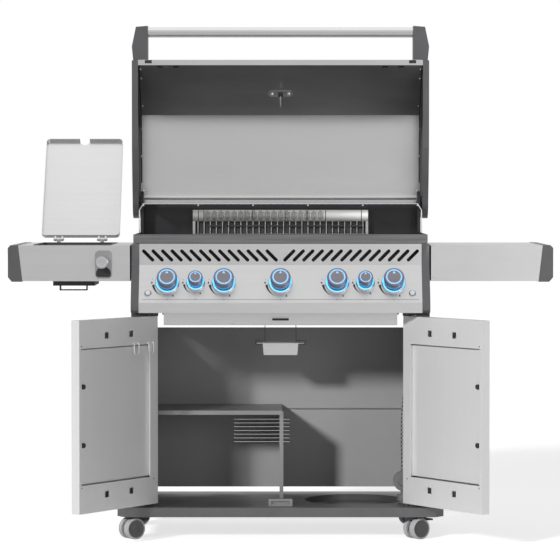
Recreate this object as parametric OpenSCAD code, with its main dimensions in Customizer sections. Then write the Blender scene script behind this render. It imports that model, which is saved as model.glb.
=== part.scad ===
// Gas barbecue grill on a cabinet cart, with a side burner.
// Millimetres, +Z up, +X to the cook's right, the front faces -Y.
// Every module works in cart coordinates, where y = 0 is the plane of the
// side shelves' front faces; place() then centres the whole grill on the origin.

/* [Overall] */
// Width over both side shelves
shelf_span = 1680; // [1500:10:2000]
// Height of the side shelves' tops above the floor
worktop_z = 912; // [860:1:1100]
// Depth of the side shelves, front to back
shelf_depth = 500; // [440:1:600]
// Thickness of the folded sheet metal
sheet_t = 2; // [1.5:0.5:3]

/* [Cart] */
// Half of the cabinet's outside width
cab_half = 463; // [463:1:560]
// Front face of the cabinet's frame
cab_front = 54; // [54:1:60]
// Back face of the cabinet
cab_back = 480; // [440:1:580]
// Width of the side panels' front and back flanges
cab_flange = 37; // [25:1:45]
// How far the base pan reaches past the cabinet on each side
base_overhang = 43; // [30:1:60]
// Underside of the base pan above the floor
base_z = 71; // [71:1:90]
// Height of the base pan
base_h = 30; // [26:1:50]
// Radius of the round well that holds the gas cylinder's foot ring
well_r = 159; // [120:1:165]
// Depth of the cylinder well
well_depth = 20; // [10:1:22]
// Cylinder well's centre, right of the middle
well_x = 235; // [200:1:240]
// Height of the cabinet shelf's front rail top
cab_shelf_z = 388; // [300:1:450]

/* [Doors] */
// Width of one door
door_w = 395; // [330:1:395]
// Thickness of a door
door_t = 30; // [26:1:36]
// Bottom edge of the doors
door_z0 = 112; // [111:1:140]
// Height of a door
door_h = 581; // [480:1:585]
// How far the doors stand open in the rest position
door_open = 124; // [90:1:126]
// Hinge pin radius
pin_r = 4; // [3:0.5:5]
// Clearance all round a pin or stem in its hole
run_gap = 0.08; // [0.05:0.01:0.1]

/* [Firebox] */
// Half of the firebox's outside width
box_half = 452; // [440:1:456]
// Height of the firebox's front lip
lip_h = 28; // [20:1:32]
// Wall of the firebox
box_wall = 4; // [3:0.5:6]
// Number of main burner tubes
burner_n = 5; // [3:1:6]
// Diameter of the cooking rods
grid_rod = 8; // [6:0.5:10]

/* [Lid] */
// Slope of the lid's front face when shut
lid_slope = 48; // [40:1:60]
// Height of the lid's inside above its rim
lid_rise = 201; // [180:1:260]
// Radius of the lid's front bend
lid_bend = 100; // [60:1:140]
// How far the lid is turned open in the rest position
lid_open = 90; // [60:1:92]
// Radius of the lid's pivot pins
lid_pin_r = 6; // [4:0.5:8]
// Outside diameter of the handle tube
handle_d = 32; // [24:1:38]

/* [Controls] */
// Half of the control panel's width
panel_half = 459.5; // [450:0.5:459.5]
// Tilt of the knob face from upright
panel_tilt = 27; // [15:1:32]
// Diameter of the five main knobs
knob_d = 63; // [50:1:70]
// Diameter of the two small knobs
small_knob_d = 46; // [36:1:52]
// How far a knob stands off its bezel
knob_h = 40; // [25:1:42]
// Spacing of the main knobs
knob_pitch = 174; // [165:1:178]

/* [Side burner] */
// Middle of the side burner
side_burner_x = -645; // [-650:1:-640]
// Width of the side burner's cover
cover_w = 252; // [220:1:260]
// Length of the side burner's cover
cover_len = 396; // [360:1:400]
// How far the cover is turned open in the rest position
cover_open = 125; // [90:1:126]

/* [Casters] */
// Diameter of a caster wheel
wheel_d = 66; // [60:1:66]
// Width of one of a caster's two wheels
wheel_w = 19; // [14:1:20]
// How far the wheels trail behind the stem
trail = 24; // [18:1:26]
// How far the casters are swivelled in the rest position
caster_turn = 34; // [0:1:60]

/* [Hidden] */
$fn = 48;
eps = 0.01;
bite = 1;                   // overlap that joins two pieces of one solid

steel = "silver";
charcoal = [0.27, 0.28, 0.29];
dark = [0.12, 0.12, 0.13];

// ---- heights ----
base_top = base_z + base_h;
shelf_h = 108;              // height of the side shelves' fascias
shelf_z0 = worktop_z - 2 - shelf_h;
panel_top = worktop_z + 5;
panel_h = 211;
panel_bot = panel_top - panel_h;
lip_z0 = panel_top + 1;
rim_z = lip_z0 + lip_h;     // top of the firebox
lid_z0 = rim_z + 3;         // underside of the shut lid's rim
cab_top = panel_bot - 4;    // top of the cabinet's frame

// ---- helper shapes ----
// Extrudes an outline given in (y, z) along X, from x0 to x1.
module along_x(x0, x1) {
    translate([x0, 0, 0])
        rotate([90, 0, 90])
            linear_extrude(x1 - x0)
                children();
}

// A box between two corners.
module span(lo, hi) {
    translate(lo)
        cube(hi - lo);
}

// A plain rod between two points.
module rod(a, b, r) {
    v = b - a;
    l = norm(v);
    translate(a)
        rotate([0, acos(v[2] / l), atan2(v[1], v[0])])
            cylinder(h = l, r = r, $fn = 16);
}

// A piece and its twin on the other side.
module both_sides() {
    children();
    mirror([1, 0, 0])
        children();
}

// A rectangle with round corners, centred on X, standing on the X axis.
module round_rect(w, h, r) {
    for (x = [r - w / 2, w / 2 - r])
        for (y = [r, h - r])
            translate([x, y])
                circle(r);
    translate([-w / 2, r])
        square([w, h - 2 * r]);
    translate([r - w / 2, 0])
        square([w - 2 * r, h]);
}

function arc(c, r, a0, a1, n) = [for (i = [0:n]) let (a = a0 + (a1 - a0) * i / n)
    [c[0] + r * cos(a), c[1] + r * sin(a)]];

// ---- base pan ----
base_half = cab_half + base_overhang;
base_y0 = 10;
base_y1 = cab_back + 20;
base_chamfer = 26;
well_y = base_y0 + 246;
caster_x = base_half - 64;
caster_y = [base_y0 + 56, base_y1 - 56];
caster_stem_r = 5.5;
stem_len = 22;
caster_ids = [[-1, 0], [1, 0], [-1, 1], [1, 1]];

module base_outline(inset) {
    x = base_half - inset;
    y0 = base_y0 + inset;
    y1 = base_y1 - inset;
    c = base_chamfer;
    polygon([[-x + c, y0], [x - c, y0], [x, y0 + c * 1.3], [x, y1 - c],
        [x - c, y1], [-x + c, y1], [-x, y1 - c], [-x, y0 + c * 1.3]]);
}

module base_pan() place() color(charcoal) difference() {
    union() {
        difference() {
            translate([0, 0, base_z])
                linear_extrude(base_h)
                    base_outline(0);
            translate([0, 0, base_z - bite])
                linear_extrude(base_h - sheet_t + bite)
                    base_outline(sheet_t);
        }
        // sockets for the caster stems
        for (id = caster_ids)
            translate([id[0] * caster_x, caster_y[id[1]], base_z])
                cylinder(h = base_h - bite, r = 19);
        // dished well for the gas cylinder
        translate([well_x, well_y, base_top - well_depth - sheet_t])
            cylinder(h = well_depth + sheet_t, r = well_r + sheet_t, $fn = 96);
    }
    for (id = caster_ids)
        translate([id[0] * caster_x, caster_y[id[1]], base_z - bite])
            cylinder(h = stem_len + 2 * bite, r = caster_stem_r + run_gap);
    translate([well_x, well_y, base_top - well_depth])
        cylinder(h = well_depth + bite, r = well_r, $fn = 96);
}

// ---- cabinet ----
// One folded side panel: a plate with a flange at the front and at the back.
module side_panel() {
    span([cab_half - sheet_t, cab_front, base_top], [cab_half, cab_back, cab_top]);
    span([cab_half - cab_flange, cab_front, base_top], [cab_half, cab_front + sheet_t, cab_top]);
    span([cab_half - cab_flange, cab_back - sheet_t, base_top], [cab_half, cab_back, cab_top]);
}

module side_panels() place() color(charcoal)
    both_sides()
        side_panel();

back_y1 = cab_back - sheet_t;
back_y0 = back_y1 - sheet_t;
back_z0 = base_top + 18;
back_z1 = cab_top - 65;
vent_n = 7;
vent_pitch = 12.2;
vent_h = 6;
hood_d = 9;
hood_t = 1.6;
vent_x = [-150, 29];
vent_z = cab_shelf_z - 50;

module back_panel() place() color(dark) {
    difference() {
        span([-cab_half + sheet_t, back_y0, back_z0], [cab_half - sheet_t, back_y1, back_z1]);
        for (i = [0:vent_n - 1])
            span([vent_x[0], back_y0 - bite, vent_z - i * vent_pitch],
                [vent_x[1], back_y1 + bite, vent_z - i * vent_pitch + vent_h]);
    }
    // louvre hoods behind the vents
    for (i = [0:vent_n - 1]) {
        z = vent_z - i * vent_pitch;
        span([vent_x[0], back_y1 - bite, z + vent_h], [vent_x[1], back_y1 + hood_d, z + vent_h + hood_t]);
        span([vent_x[0], back_y1 + hood_d - hood_t, z], [vent_x[1], back_y1 + hood_d, z + vent_h + hood_t]);
    }
    // stiffening fold along the right half
    span([divider_x + sheet_t, back_y0 - 8, cab_shelf_z - 14],
        [cab_half - sheet_t, back_y0, cab_shelf_z - 12]);
}

shelf_front = cab_front + 136;
divider_x = -3;
rail_h = 13;

module cabinet_shelf() place() color(dark) {
    x0 = -cab_half + sheet_t;
    x1 = divider_x + sheet_t + 6;
    span([x0, shelf_front, cab_shelf_z - sheet_t], [x1, back_y0, cab_shelf_z]);
    span([x0, shelf_front, cab_shelf_z - rail_h], [x1, shelf_front + sheet_t, cab_shelf_z]);
}

module divider() place() color("gray") {
    z1 = cab_shelf_z - sheet_t;
    y0 = shelf_front + sheet_t;
    span([divider_x, y0, base_top], [divider_x + sheet_t, back_y0, z1]);
    span([divider_x, y0, base_top], [divider_x + 12, y0 + sheet_t, z1]);
}

catch_w = 74;
module door_catch() place() color(dark) difference() {
    span([-catch_w / 2, door_in_y + 3, base_top], [catch_w / 2, door_in_y + 33, base_top + 22]);
    span([-catch_w / 2 + 8, door_in_y + 3 - bite, base_top + 6],
        [catch_w / 2 - 8, door_in_y + 13, base_top + 16]);
}

// ---- doors ----
// A door's own frame: the hinge pin stands at the origin, the door runs along
// +X from it when shut, its outer face looks along -Y.
door_edge = 6;              // hinge edge beyond the pin
door_pin_in = 10.4;         // pin to the inner face
pin_x = -(door_w - door_edge) - 3;
pin_y = 41;
door_in_y = pin_y + door_pin_in;
door_recess = 8;
door_lip = 12;
plate_h = 85;
pin_len = 20;
hook_x = [38, 113];         // tool hooks, from the hinge edge
slot_x = 136;
slot_sz = [20, 19];
corner = 26;
door_x0 = -door_edge;
door_x1 = door_w - door_edge;
door_y0 = door_pin_in - door_t;
door_z1 = door_z0 + door_h;
pull_z = door_z0 + door_h / 2 + 3;
pull_gap = 176;
pull_x = door_x1 - 26;

module door_blank(hooks) color(steel) difference() {
    union() {
        difference() {
            span([door_x0, door_y0, door_z0], [door_x1, door_pin_in, door_z1]);
            span([door_x0 + sheet_t, door_y0 + sheet_t, door_z0 + sheet_t],
                [door_x1 - sheet_t, door_pin_in + bite, door_z1 - sheet_t]);
        }
        // lips along the upright edges
        span([door_x0, door_pin_in - sheet_t, door_z0], [door_x0 + 40, door_pin_in, door_z1]);
        span([door_x1 - door_lip, door_pin_in - sheet_t, door_z0], [door_x1, door_pin_in, door_z1]);
        // inner panel, set back
        span([door_x0 + 34, door_pin_in - door_recess - sheet_t, door_z0 + plate_h + 4],
            [door_x1 - bite, door_pin_in - door_recess, door_z1 - plate_h - 4]);
        span([door_x0 + 34, door_pin_in - door_recess - sheet_t, door_z0 + plate_h + 4],
            [door_x0 + 36, door_pin_in, door_z1 - plate_h - 4]);
        // top and bottom plates with slots
        for (z = [door_z0, door_z1 - plate_h])
            difference() {
                span([door_x0, door_pin_in - sheet_t, z], [door_x1, door_pin_in, z + plate_h]);
                for (x = [slot_x, door_w - slot_x])
                    translate([door_x0 + x - slot_sz[0] / 2, door_pin_in - sheet_t - bite,
                        z + plate_h / 2 + (z == door_z0 ? 8 : -7) - slot_sz[1] / 2])
                        cube([slot_sz[0], sheet_t + 2 * bite, slot_sz[1]]);
            }
        // blocks that hold the hinge bushes
        for (z = [door_z0, door_z1 - corner])
            span([door_x0, door_y0, z], [door_x0 + corner, door_pin_in, z + corner]);
        if (hooks)
            for (x = [door_x0 + hook_x[0], door_x0 + hook_x[1]])
                door_hook(x);
    }
    for (z = [door_z0 - bite, door_z1 - pin_len])
        translate([0, 0, z])
            cylinder(h = pin_len + bite, r = pin_r + run_gap);
}

// A wire hook for tools: two legs joined by a round bottom.
module door_hook(x) {
    y = door_pin_in + 3;
    z = door_z1 - plate_h + 4;
    w = 12;
    translate([x, y, z - 22])
        rotate([90, 0, 0])
            rotate([0, 0, 180])
                rotate_extrude(angle = 180, $fn = 32)
                    translate([w, 0])
                        circle(1.5, $fn = 16);
    for (s = [-1, 1])
        rod([x + s * w, y, z - 22], [x + s * w, y, z], 1.5);
    for (s = [-1, 1])
        rod([x + s * w, y, z], [x + s * w, y - 4, z + 2], 1.5);
}

// Bow handle on a door's outer face, leaning away from the door's free edge.
module door_pull() color(steel) {
    lean = 30;
    out = 34;
    boss_h = 4;
    for (s = [-1, 1]) {
        foot = [pull_x, door_y0 - boss_h, pull_z + s * pull_gap / 2];
        rod(foot, foot + [-lean, boss_h - out, 0], 5);
        translate([foot[0], door_y0, foot[2]])
            rotate([90, 0, 0])
                cylinder(h = boss_h + 1, r = 7);
        translate([pull_x, door_pin_in - door_recess, foot[2]])
            rotate([-90, 0, 0])
                cylinder(h = 3, r = 7);
    }
    translate([pull_x - lean, door_y0 - out, pull_z - pull_gap / 2 - 20])
        cylinder(h = pull_gap + 40, r = 6);
}

module left_hung() place() translate([pin_x, pin_y, 0]) rotate([0, 0, -door_open]) children();
module right_hung() place() mirror([1, 0, 0]) translate([pin_x, pin_y, 0])
    rotate([0, 0, -door_open]) children();

module left_door() left_hung() door_blank(true);
module right_door() right_hung() door_blank(false);
module left_door_handle() left_hung() door_pull();
module right_door_handle() right_hung() door_pull();

// Brackets and pins that the doors turn on.
module door_hinges() place() color(dark) both_sides() {
    arm_x = -cab_half + sheet_t;
    // lower: a strap on the base pan with a pin
    span([arm_x, pin_y - 12, base_top], [pin_x + 12, cab_front, base_top + 3]);
    translate([pin_x, pin_y, base_top])
        cylinder(h = door_z0 - base_top - 0.6, r = 9);
    translate([pin_x, pin_y, base_top])
        cylinder(h = door_z0 - base_top + pin_len - 2, r = pin_r);
    // upper: a strap under the control panel
    z = door_z1 + 2;
    span([arm_x, pin_y - 12, z + 1], [pin_x + 12, cab_front - 7, cab_top]);
    span([arm_x, cab_front - 8, z + 1], [arm_x + cab_flange - 4, cab_front, cab_top]);
    translate([pin_x, pin_y, z - 1.4])
        cylinder(h = cab_top - z + 1.4, r = 14);
    translate([pin_x, pin_y, z - pin_len])
        cylinder(h = pin_len, r = pin_r);
}

// ---- firebox ----
box_y0 = 62;
box_y1 = 500;
box_z0 = panel_bot + 10;
back_wall_z = rim_z + 92;
lid_pivot = [470, rim_z + 102];
tray_y0 = 70;
drain = [[-345, 130], [345, 440]];
ear_t = 10;
lip_y0 = 14;

ledge_w = 10;
ledge_t = 2.5;
module firebox() place() color(charcoal) difference() {
    union() {
        difference() {
            span([-box_half, box_y0, box_z0], [box_half, box_y1, rim_z]);
            span([-box_half + box_wall, box_y0 + box_wall, box_z0 + box_wall],
                [box_half - box_wall, box_y1 - box_wall, rim_z + bite]);
            span([drain[0][0], drain[0][1], box_z0 - bite],
                [drain[1][0], drain[1][1], box_z0 + box_wall + bite]);
        }
        // front lip over the control panel
        span([-box_half - 2, lip_y0, lip_z0], [box_half + 2, lip_y0 + box_wall, rim_z]);
        span([-box_half - 2, lip_y0, lip_z0], [box_half + 2, box_y0 + bite, lip_z0 + box_wall]);
        // back wall and the ears that carry the lid
        span([-box_half, box_y1 - box_wall, rim_z - bite], [box_half, box_y1, back_wall_z]);
        for (s = [-1, 1]) {
            x = s > 0 ? box_half - ear_t : -box_half;
            span([x, lid_pivot[0] - 30, rim_z - 20], [x + ear_t, box_y1, lid_pivot[1]]);
            translate([x, lid_pivot[0], lid_pivot[1]])
                rotate([0, 90, 0])
                    cylinder(h = ear_t, r = 30);
        }
        // rails that the cooking grids rest on
        for (y = [box_y0 + box_wall, box_y1 - box_wall - 12])
            span([-box_half + box_wall - bite, y - (y < 200 ? bite : 0), grid_z - 8],
                [box_half - box_wall + bite, y + 12 + (y > 200 ? bite : 0), grid_z]);
        // ledges that the heat plates rest on
        for (y = [box_y0 + box_wall - bite, box_y1 - box_wall - ledge_w])
            span([-box_half + box_wall - bite, y, sear_z - ledge_t],
                [box_half - box_wall + bite, y + ledge_w + bite, sear_z]);
        // legs on the cabinet's frame
        for (s = [-1, 1]) {
            x = s > 0 ? box_half - 26 : -box_half;
            span([x, cab_front, cab_top], [x + 26, cab_back, box_z0 + bite]);
        }
        // runners that the drip tray's flanges slide on
        for (s = [-1, 1]) {
            x = s * (tray_half + 5);
            span([min(x, x - s * 14), tray_y0 + 20, flange_z - 3],
                [max(x, x - s * 14), cab_back - 20, flange_z - 1]);
            span([min(x, x - s * 2), tray_y0 + 20, flange_z - 3],
                [max(x, x - s * 2), cab_back - 20, box_z0 + bite]);
        }
    }
    for (s = [-1, 1])
        translate([s * box_half, lid_pivot[0], lid_pivot[1]])
            rotate([0, 90, 0])
                cylinder(h = 4 * ear_t, r = lid_pin_r + run_gap, center = true);
}

grid_z = rim_z - 34;
burner_z = box_z0 + 92;
burner_pitch = 2 * (box_half - 90) / (burner_n - 1);
burner_y0 = box_y0 + box_wall;
burner_y1 = box_y1 - box_wall - 22;

module main_burners() place() color(steel)
    for (i = [0:burner_n - 1])
        translate([-box_half + 90 + i * burner_pitch, burner_y0, burner_z])
            rotate([-90, 0, 0]) {
                cylinder(h = burner_y1 - burner_y0, r = 14);
                cylinder(h = 30, r = 15);
                cylinder(h = box_y1 - box_wall - burner_y0, r = 5);
            }

// A folded heat plate over each burner.
sear_z = burner_z + 18;
module sear_plates() place() color(steel)
    for (i = [0:burner_n - 1])
        translate([-box_half + 90 + i * burner_pitch, 0, sear_z])
            along_y(box_y0 + box_wall + 1, box_y1 - box_wall - 1)
                polygon([[-46, 0], [-46, 8], [0, 40], [46, 8], [46, 0],
                    [43, 0], [43, 6], [0, 36.5], [-43, 6], [-43, 0]]);

// Three cooking grids of round rods on flat end bars.
grid_n = 3;
grid_rods = 14;
grid_y0 = box_y0 + box_wall + 1;
grid_y1 = box_y1 - box_wall - 1;
grid_w = (2 * (box_half - box_wall) - 4) / grid_n;
module cooking_grids() place() color(dark)
    for (g = [0:grid_n - 1])
        translate([-box_half + box_wall + 2 + g * grid_w, 0, grid_z]) {
            for (y = [grid_y0, (grid_y0 + grid_y1) / 2 - 5, grid_y1 - 10])
                span([2, y, 0], [grid_w - 2, y + 10, 6]);
            for (i = [0:grid_rods - 1])
                translate([12 + i * (grid_w - 24) / (grid_rods - 1), grid_y0 + 1, grid_rod / 2 + 2])
                    rotate([-90, 0, 0])
                        cylinder(h = grid_y1 - grid_y0 - 2, r = grid_rod / 2, $fn = 16);
        }

rack_z = rim_z + 92;
rack_y = [330, 462];
rack_half = box_half - ear_t - 5;
rack_n = 8;
rack_pitch = 175;
module warming_rack() place() color(steel) {
    for (i = [0:rack_n])
        let (y = rack_y[0] + i * (rack_y[1] - rack_y[0]) / rack_n)
            rod([-rack_half - 3, y, rack_z], [rack_half + 3, y, rack_z], 2);
    for (x = [-rack_half, -1.5 * rack_pitch, -rack_pitch / 2, rack_pitch / 2, 1.5 * rack_pitch, rack_half])
        rod([x, rack_y[0] - 4, rack_z - 4], [x, rack_y[1] + 4, rack_z - 4], 2.5);
    // legs standing on the firebox's rim
    for (s = [-1, 1]) {
        leg_x = s * (box_half - box_wall / 2);
        rod([leg_x, rack_y[0], rim_z], [leg_x, rack_y[0], rack_z - 20], 2);
        rod([leg_x, rack_y[0], rack_z - 20.5], [s * rack_half, rack_y[0], rack_z], 2);
    }
}

// Infrared rear burner: a housing on the back wall, a perforated strip above
// and a row of guard rods in front of the ceramic below.
rear_half = 284;
rear_z = [rim_z - 6, rim_z + 36, rim_z + 72];
rear_y0 = box_y1 - box_wall - 28;
module rear_burner() place() color(steel) {
    difference() {
        span([-rear_half, rear_y0, rear_z[0]], [rear_half, box_y1 - box_wall, rear_z[2]]);
        span([-rear_half + 8, rear_y0 - bite, rear_z[0] + 4], [rear_half - 8, rear_y0 + 14, rear_z[1] - 2]);
    }
    for (i = [0:27])
        translate([-rear_half + 14 + i * (2 * rear_half - 28) / 27, rear_y0 + 4, rear_z[0]])
            cylinder(h = rear_z[1] - rear_z[0], r = 1.6, $fn = 16);
}

// ---- control panel ----
face_y0 = 8;                // upright top section
bend_z = panel_top - 65;    // top of the tilted knob face
foot_z = panel_bot + 31;    // bottom of the tilted knob face
foot_y = face_y0 - (bend_z - foot_z) * tan(panel_tilt);
cap_w = 24.5;
sheet_half = panel_half - cap_w;
knob_z = foot_z + 61.5;
button_z = foot_z + 29;
knob_x = [-2 * knob_pitch, -knob_pitch, 0, knob_pitch, 2 * knob_pitch];
small_x = 1.5 * knob_pitch;
button_x = [-407, 405];
stem_r = 4;

function face_y(z) = face_y0 - (bend_z - z) * tan(panel_tilt);

// Stands its children on the knob face, +Z along the outward normal.
module on_face(x, z) {
    translate([x, face_y(z), z])
        rotate([90 - panel_tilt, 0, 0])
            children();
}

module panel_profile(t) {
    polygon([[40, panel_top - t], [face_y0 + t, panel_top - t], [face_y0 + t, bend_z - t / 4],
        [foot_y + t, foot_z - t / 4], [foot_y + t, panel_bot + t], [40, panel_bot + t],
        [40, panel_bot], [foot_y, panel_bot], [foot_y, foot_z], [face_y0, bend_z],
        [face_y0, panel_top], [40, panel_top]]);
}

vent_slots = 14;
slot_pitch = 29.3;
slot_first = 408;
slot_w = 10.5;
slot_run = 38.5;
module panel_slot(x) {
    translate([x, face_y0 + sheet_t + bite, panel_top - 36])
        rotate([90, 45, 0])
            linear_extrude(sheet_t + 2 * bite) {
                square([slot_w, slot_run], center = true);
                for (y = [-slot_run / 2, slot_run / 2])
                    translate([0, y])
                        circle(d = slot_w);
            }
}

module control_panel() place() color(steel) difference() {
    along_x(-sheet_half, sheet_half)
        panel_profile(sheet_t);
    both_sides()
        for (i = [0:vent_slots - 1])
            panel_slot(slot_first - i * slot_pitch);
    for (x = concat(knob_x, [-small_x, small_x]))
        on_face(x, knob_z)
            cylinder(h = 20, r = stem_r + 3, center = true);
    for (x = button_x)
        on_face(x, button_z)
            cylinder(h = 20, r = 9.5, center = true);
}

module panel_end_caps() place() color(charcoal) both_sides() along_x(sheet_half, panel_half)
    polygon([[42, panel_top], [face_y0 + 2, panel_top], [face_y0 - 2, panel_top - 4], [face_y0 - 2, bend_z],
        [foot_y - 2, foot_z], [foot_y - 2, panel_bot + 8], [foot_y + 6, panel_bot], [42, panel_bot]]);

bezel_h = 7;
module bezel(d) difference() {
    cylinder(h = bezel_h, r1 = d / 2 + 6.5, r2 = d / 2 + 4.5);
    translate([0, 0, 3])
        cylinder(h = bezel_h, r = d / 2 + 1.5);
    cylinder(h = 3 * bezel_h, r = stem_r + 3, center = true);
}

side_knob_pos = [-549, 861];
module knob_bezels() place() color("gray") {
    for (x = knob_x)
        on_face(x, knob_z)
            bezel(knob_d);
    for (x = [-small_x, small_x])
        on_face(x, knob_z)
            bezel(small_knob_d);
    for (x = button_x)
        on_face(x, button_z)
            difference() {
                cylinder(h = 3, r = 12);
                cylinder(h = 9, r = 9.5, center = true);
            }
    // shield behind the side burner's knob
    translate([side_knob_pos[0] + 4, 0, side_knob_pos[1] - 50])
        rotate([90, 0, 0])
            difference() {
                linear_extrude(6)
                    round_rect(52, 85, 8);
                translate([-4, 50, 3])
                    cylinder(h = 9, r = small_knob_d / 2 - 1);
                translate([-4, 50, -bite])
                    cylinder(h = 9, r = stem_r + 3);
            }
}

// A knob on its valve stem, +Z towards the cook.
stem_in = 40;
side_stem = 30;
knob_off = 4.5;
module knob(d, off, stem) {
    translate([0, 0, off]) {
        cylinder(h = 20, r1 = d / 2 - 3, r2 = d / 2);
        translate([0, 0, 20 - eps])
            cylinder(h = knob_h - 24, r = d / 2);
        translate([0, 0, knob_h - 4 - 2 * eps])
            cylinder(h = 4, r1 = d / 2, r2 = d / 2 - 4);
        translate([-2, d / 2 - 13, knob_h - 1])
            cube([4, 5, 1.8]);
    }
    translate([0, 0, -stem])
        cylinder(h = stem + off + bite, r = stem_r);
}

module panel_knob(x, d) place() color("dimgray") on_face(x, knob_z) knob(d, knob_off, stem_in);
module knob_1() panel_knob(knob_x[0], knob_d);
module knob_2() panel_knob(-small_x, small_knob_d);
module knob_3() panel_knob(knob_x[1], knob_d);
module knob_4() panel_knob(knob_x[2], knob_d);
module knob_5() panel_knob(knob_x[3], knob_d);
module knob_6() panel_knob(small_x, small_knob_d);
module knob_7() panel_knob(knob_x[4], knob_d);

module side_knob() place() color("dimgray")
    translate([side_knob_pos[0], 0, side_knob_pos[1]])
        rotate([90, 0, 0])
            knob(small_knob_d - 4, knob_off, side_stem);

// A push button: a cap on a plunger.
module push_button(x) place() color(steel) on_face(x, button_z) {
    translate([0, 0, -14])
        cylinder(h = 18, r = 8.5);
    translate([0, 0, 4 - eps])
        cylinder(h = 2, r1 = 8.5, r2 = 7);
}
module ignition_button() push_button(button_x[0]);
module light_button() push_button(button_x[1]);

// ---- gas supply ----
manifold_r = 10;
manifold_in = 66;           // along the knobs' axes, from the face to the manifold
manifold_y = face_y(knob_z) + manifold_in * cos(panel_tilt);
manifold_z = knob_z - manifold_in * sin(panel_tilt);
manifold_end = 416;
valve_r = 8.5;
elbow_r = 6;
nut_r = 8.4;
hose_y = 54.5;
hose_top = 742;

module gas_manifold() place() color("gray") difference() {
    union() {
        translate([-knob_pitch * 2 - 20, manifold_y, manifold_z])
            rotate([0, 90, 0])
                cylinder(h = manifold_end + knob_pitch * 2 + 28, r = manifold_r);
        for (x = concat(knob_x, [-small_x, small_x]))
            on_face(x, knob_z)
                translate([0, 0, -manifold_in])
                    cylinder(h = manifold_in - 18, r = valve_r);
        // elbow and nut for the hose
        translate([manifold_end, hose_y, hose_top])
            cylinder(h = manifold_z - hose_top + 8, r = elbow_r + 0.5);
        translate([manifold_end, hose_y, hose_top + 2])
            cylinder(h = 12, r = nut_r, $fn = 6);
        translate([manifold_end, manifold_y, manifold_z])
            rotate([-90, 0, 0])
                cylinder(h = hose_y - manifold_y, r = elbow_r);
        // feet on the firebox's front wall
        for (x = [-230, 230])
            span([x, manifold_y, manifold_z - 4], [x + 20, box_y0, manifold_z + 4]);
    }
    for (x = concat(knob_x, [-small_x, small_x]))
        on_face(x, knob_z)
            translate([0, 0, -stem_in - 2])
                cylinder(h = stem_in, r = stem_r + run_gap);
}

// The hose's route, from the manifold's fitting down to the regulator.
hose_d = 12;
hose_path = [[416, hose_y, hose_top], [416, hose_y, 725], [416, hose_y, 705],
    [416, 57, 685], [414, 63, 660],
    [411, 72, 635], [407, 83, 605], [402, 96, 570], [397, 108, 530], [392, 119, 485], [388, 128, 440],
    [385, 135, 395], [383, 141, 350], [383, 145, 305], [384, 148, 265], [385, 150, 235], [385, 150, 210]];
hose_sides = 10;

function unit(v) = v / norm(v);
function tangent(p, i) = unit(p[min(i + 1, len(p) - 1)] - p[max(i - 1, 0)]);
function hose_ring(p, i, r) =
    let (t = tangent(p, i), u = unit(cross(t, [0, 1, 0])), v = cross(t, u))
    [for (k = [0:hose_sides - 1]) let (a = 360 * k / hose_sides) p[i] + r * (cos(a) * u + sin(a) * v)];

module gas_hose() place() color(steel) {
    n = len(hose_path);
    m = hose_sides;
    rings = [for (i = [0:n - 1]) each hose_ring(hose_path, i, hose_d / 2)];
    walls = [for (i = [0:n - 2]) for (k = [0:m - 1])
        let (a = i * m + k, b = i * m + (k + 1) % m) [a, a + m, b + m, b]];
    ends = [[for (k = [0:m - 1]) k], [for (k = [m - 1:-1:0]) (n - 1) * m + k]];
    polyhedron(points = rings, faces = concat(walls, ends), convexity = 4);
}

reg_pos = hose_path[len(hose_path) - 1];
reg_r = 31;
module regulator() place() color("dimgray") translate([reg_pos[0], reg_pos[1], 0]) {
    z = base_top;
    c = 170;
    translate([0, -13, c])
        rotate([-90, 0, 0]) {
            cylinder(h = 26, r = reg_r);
            translate([0, 0, -4])
                cylinder(h = 5, r1 = 14, r2 = 17);
        }
    translate([0, 0, c + reg_r - 4])
        cylinder(h = reg_pos[2] - c - reg_r + 4, r = 7);
    translate([0, 0, 128])
        cylinder(h = 16, r = 8);
    // hand wheel
    translate([0, 0, z])
        cylinder(h = 8, r = 11);
    translate([0, 0, z + 8 - eps])
        cylinder(h = 128 - z - 8 + 2 * eps, r = 19, $fn = 32);
}

// ---- side shelves ----
shelf_in = cab_half + 1;
shelf_out = shelf_span / 2;
cap_top_w = 32;
cap_bot_w = 45;
bowl_half = [116, 188];
shelf_pivot_y = 430;
bowl_y = shelf_pivot_y - cover_len / 2 - 2;

module cap_outline() {
    x = shelf_out;
    polygon([[x - cap_top_w, worktop_z + 1], [x - 8, worktop_z + 1], [x, worktop_z - 8], [x, shelf_z0 + 12],
        [x - 12, shelf_z0 - 2], [x - cap_bot_w, shelf_z0 - 2]]);
}

module shelf_cap_solid(in) {
    along_y(-2 + in, shelf_depth + 2 - in)
        cap_outline();
}

// Folded sheet shelf: top, front fascia, back flange and inner side plate.
module shelf_body() {
    x1 = shelf_out - cap_top_w;
    difference() {
        union() {
            span([shelf_in, 0, worktop_z - sheet_t], [x1, shelf_depth, worktop_z]);
            span([shelf_in, 0, shelf_z0], [x1, sheet_t, worktop_z]);
            span([shelf_in, shelf_depth - sheet_t, shelf_z0], [x1, shelf_depth, worktop_z]);
            span([shelf_in, 0, shelf_z0], [shelf_in + sheet_t, shelf_depth, worktop_z]);
            span([shelf_in, 0, shelf_z0], [x1, 22, shelf_z0 + sheet_t]);
            // arms that bolt to the firebox
            for (y = [90, 380])
                span([box_half, y, shelf_z0 + 30], [shelf_in + bite, y + 40, shelf_z0 + 80]);
        }
        shelf_cap_solid(0);
    }
}

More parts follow.
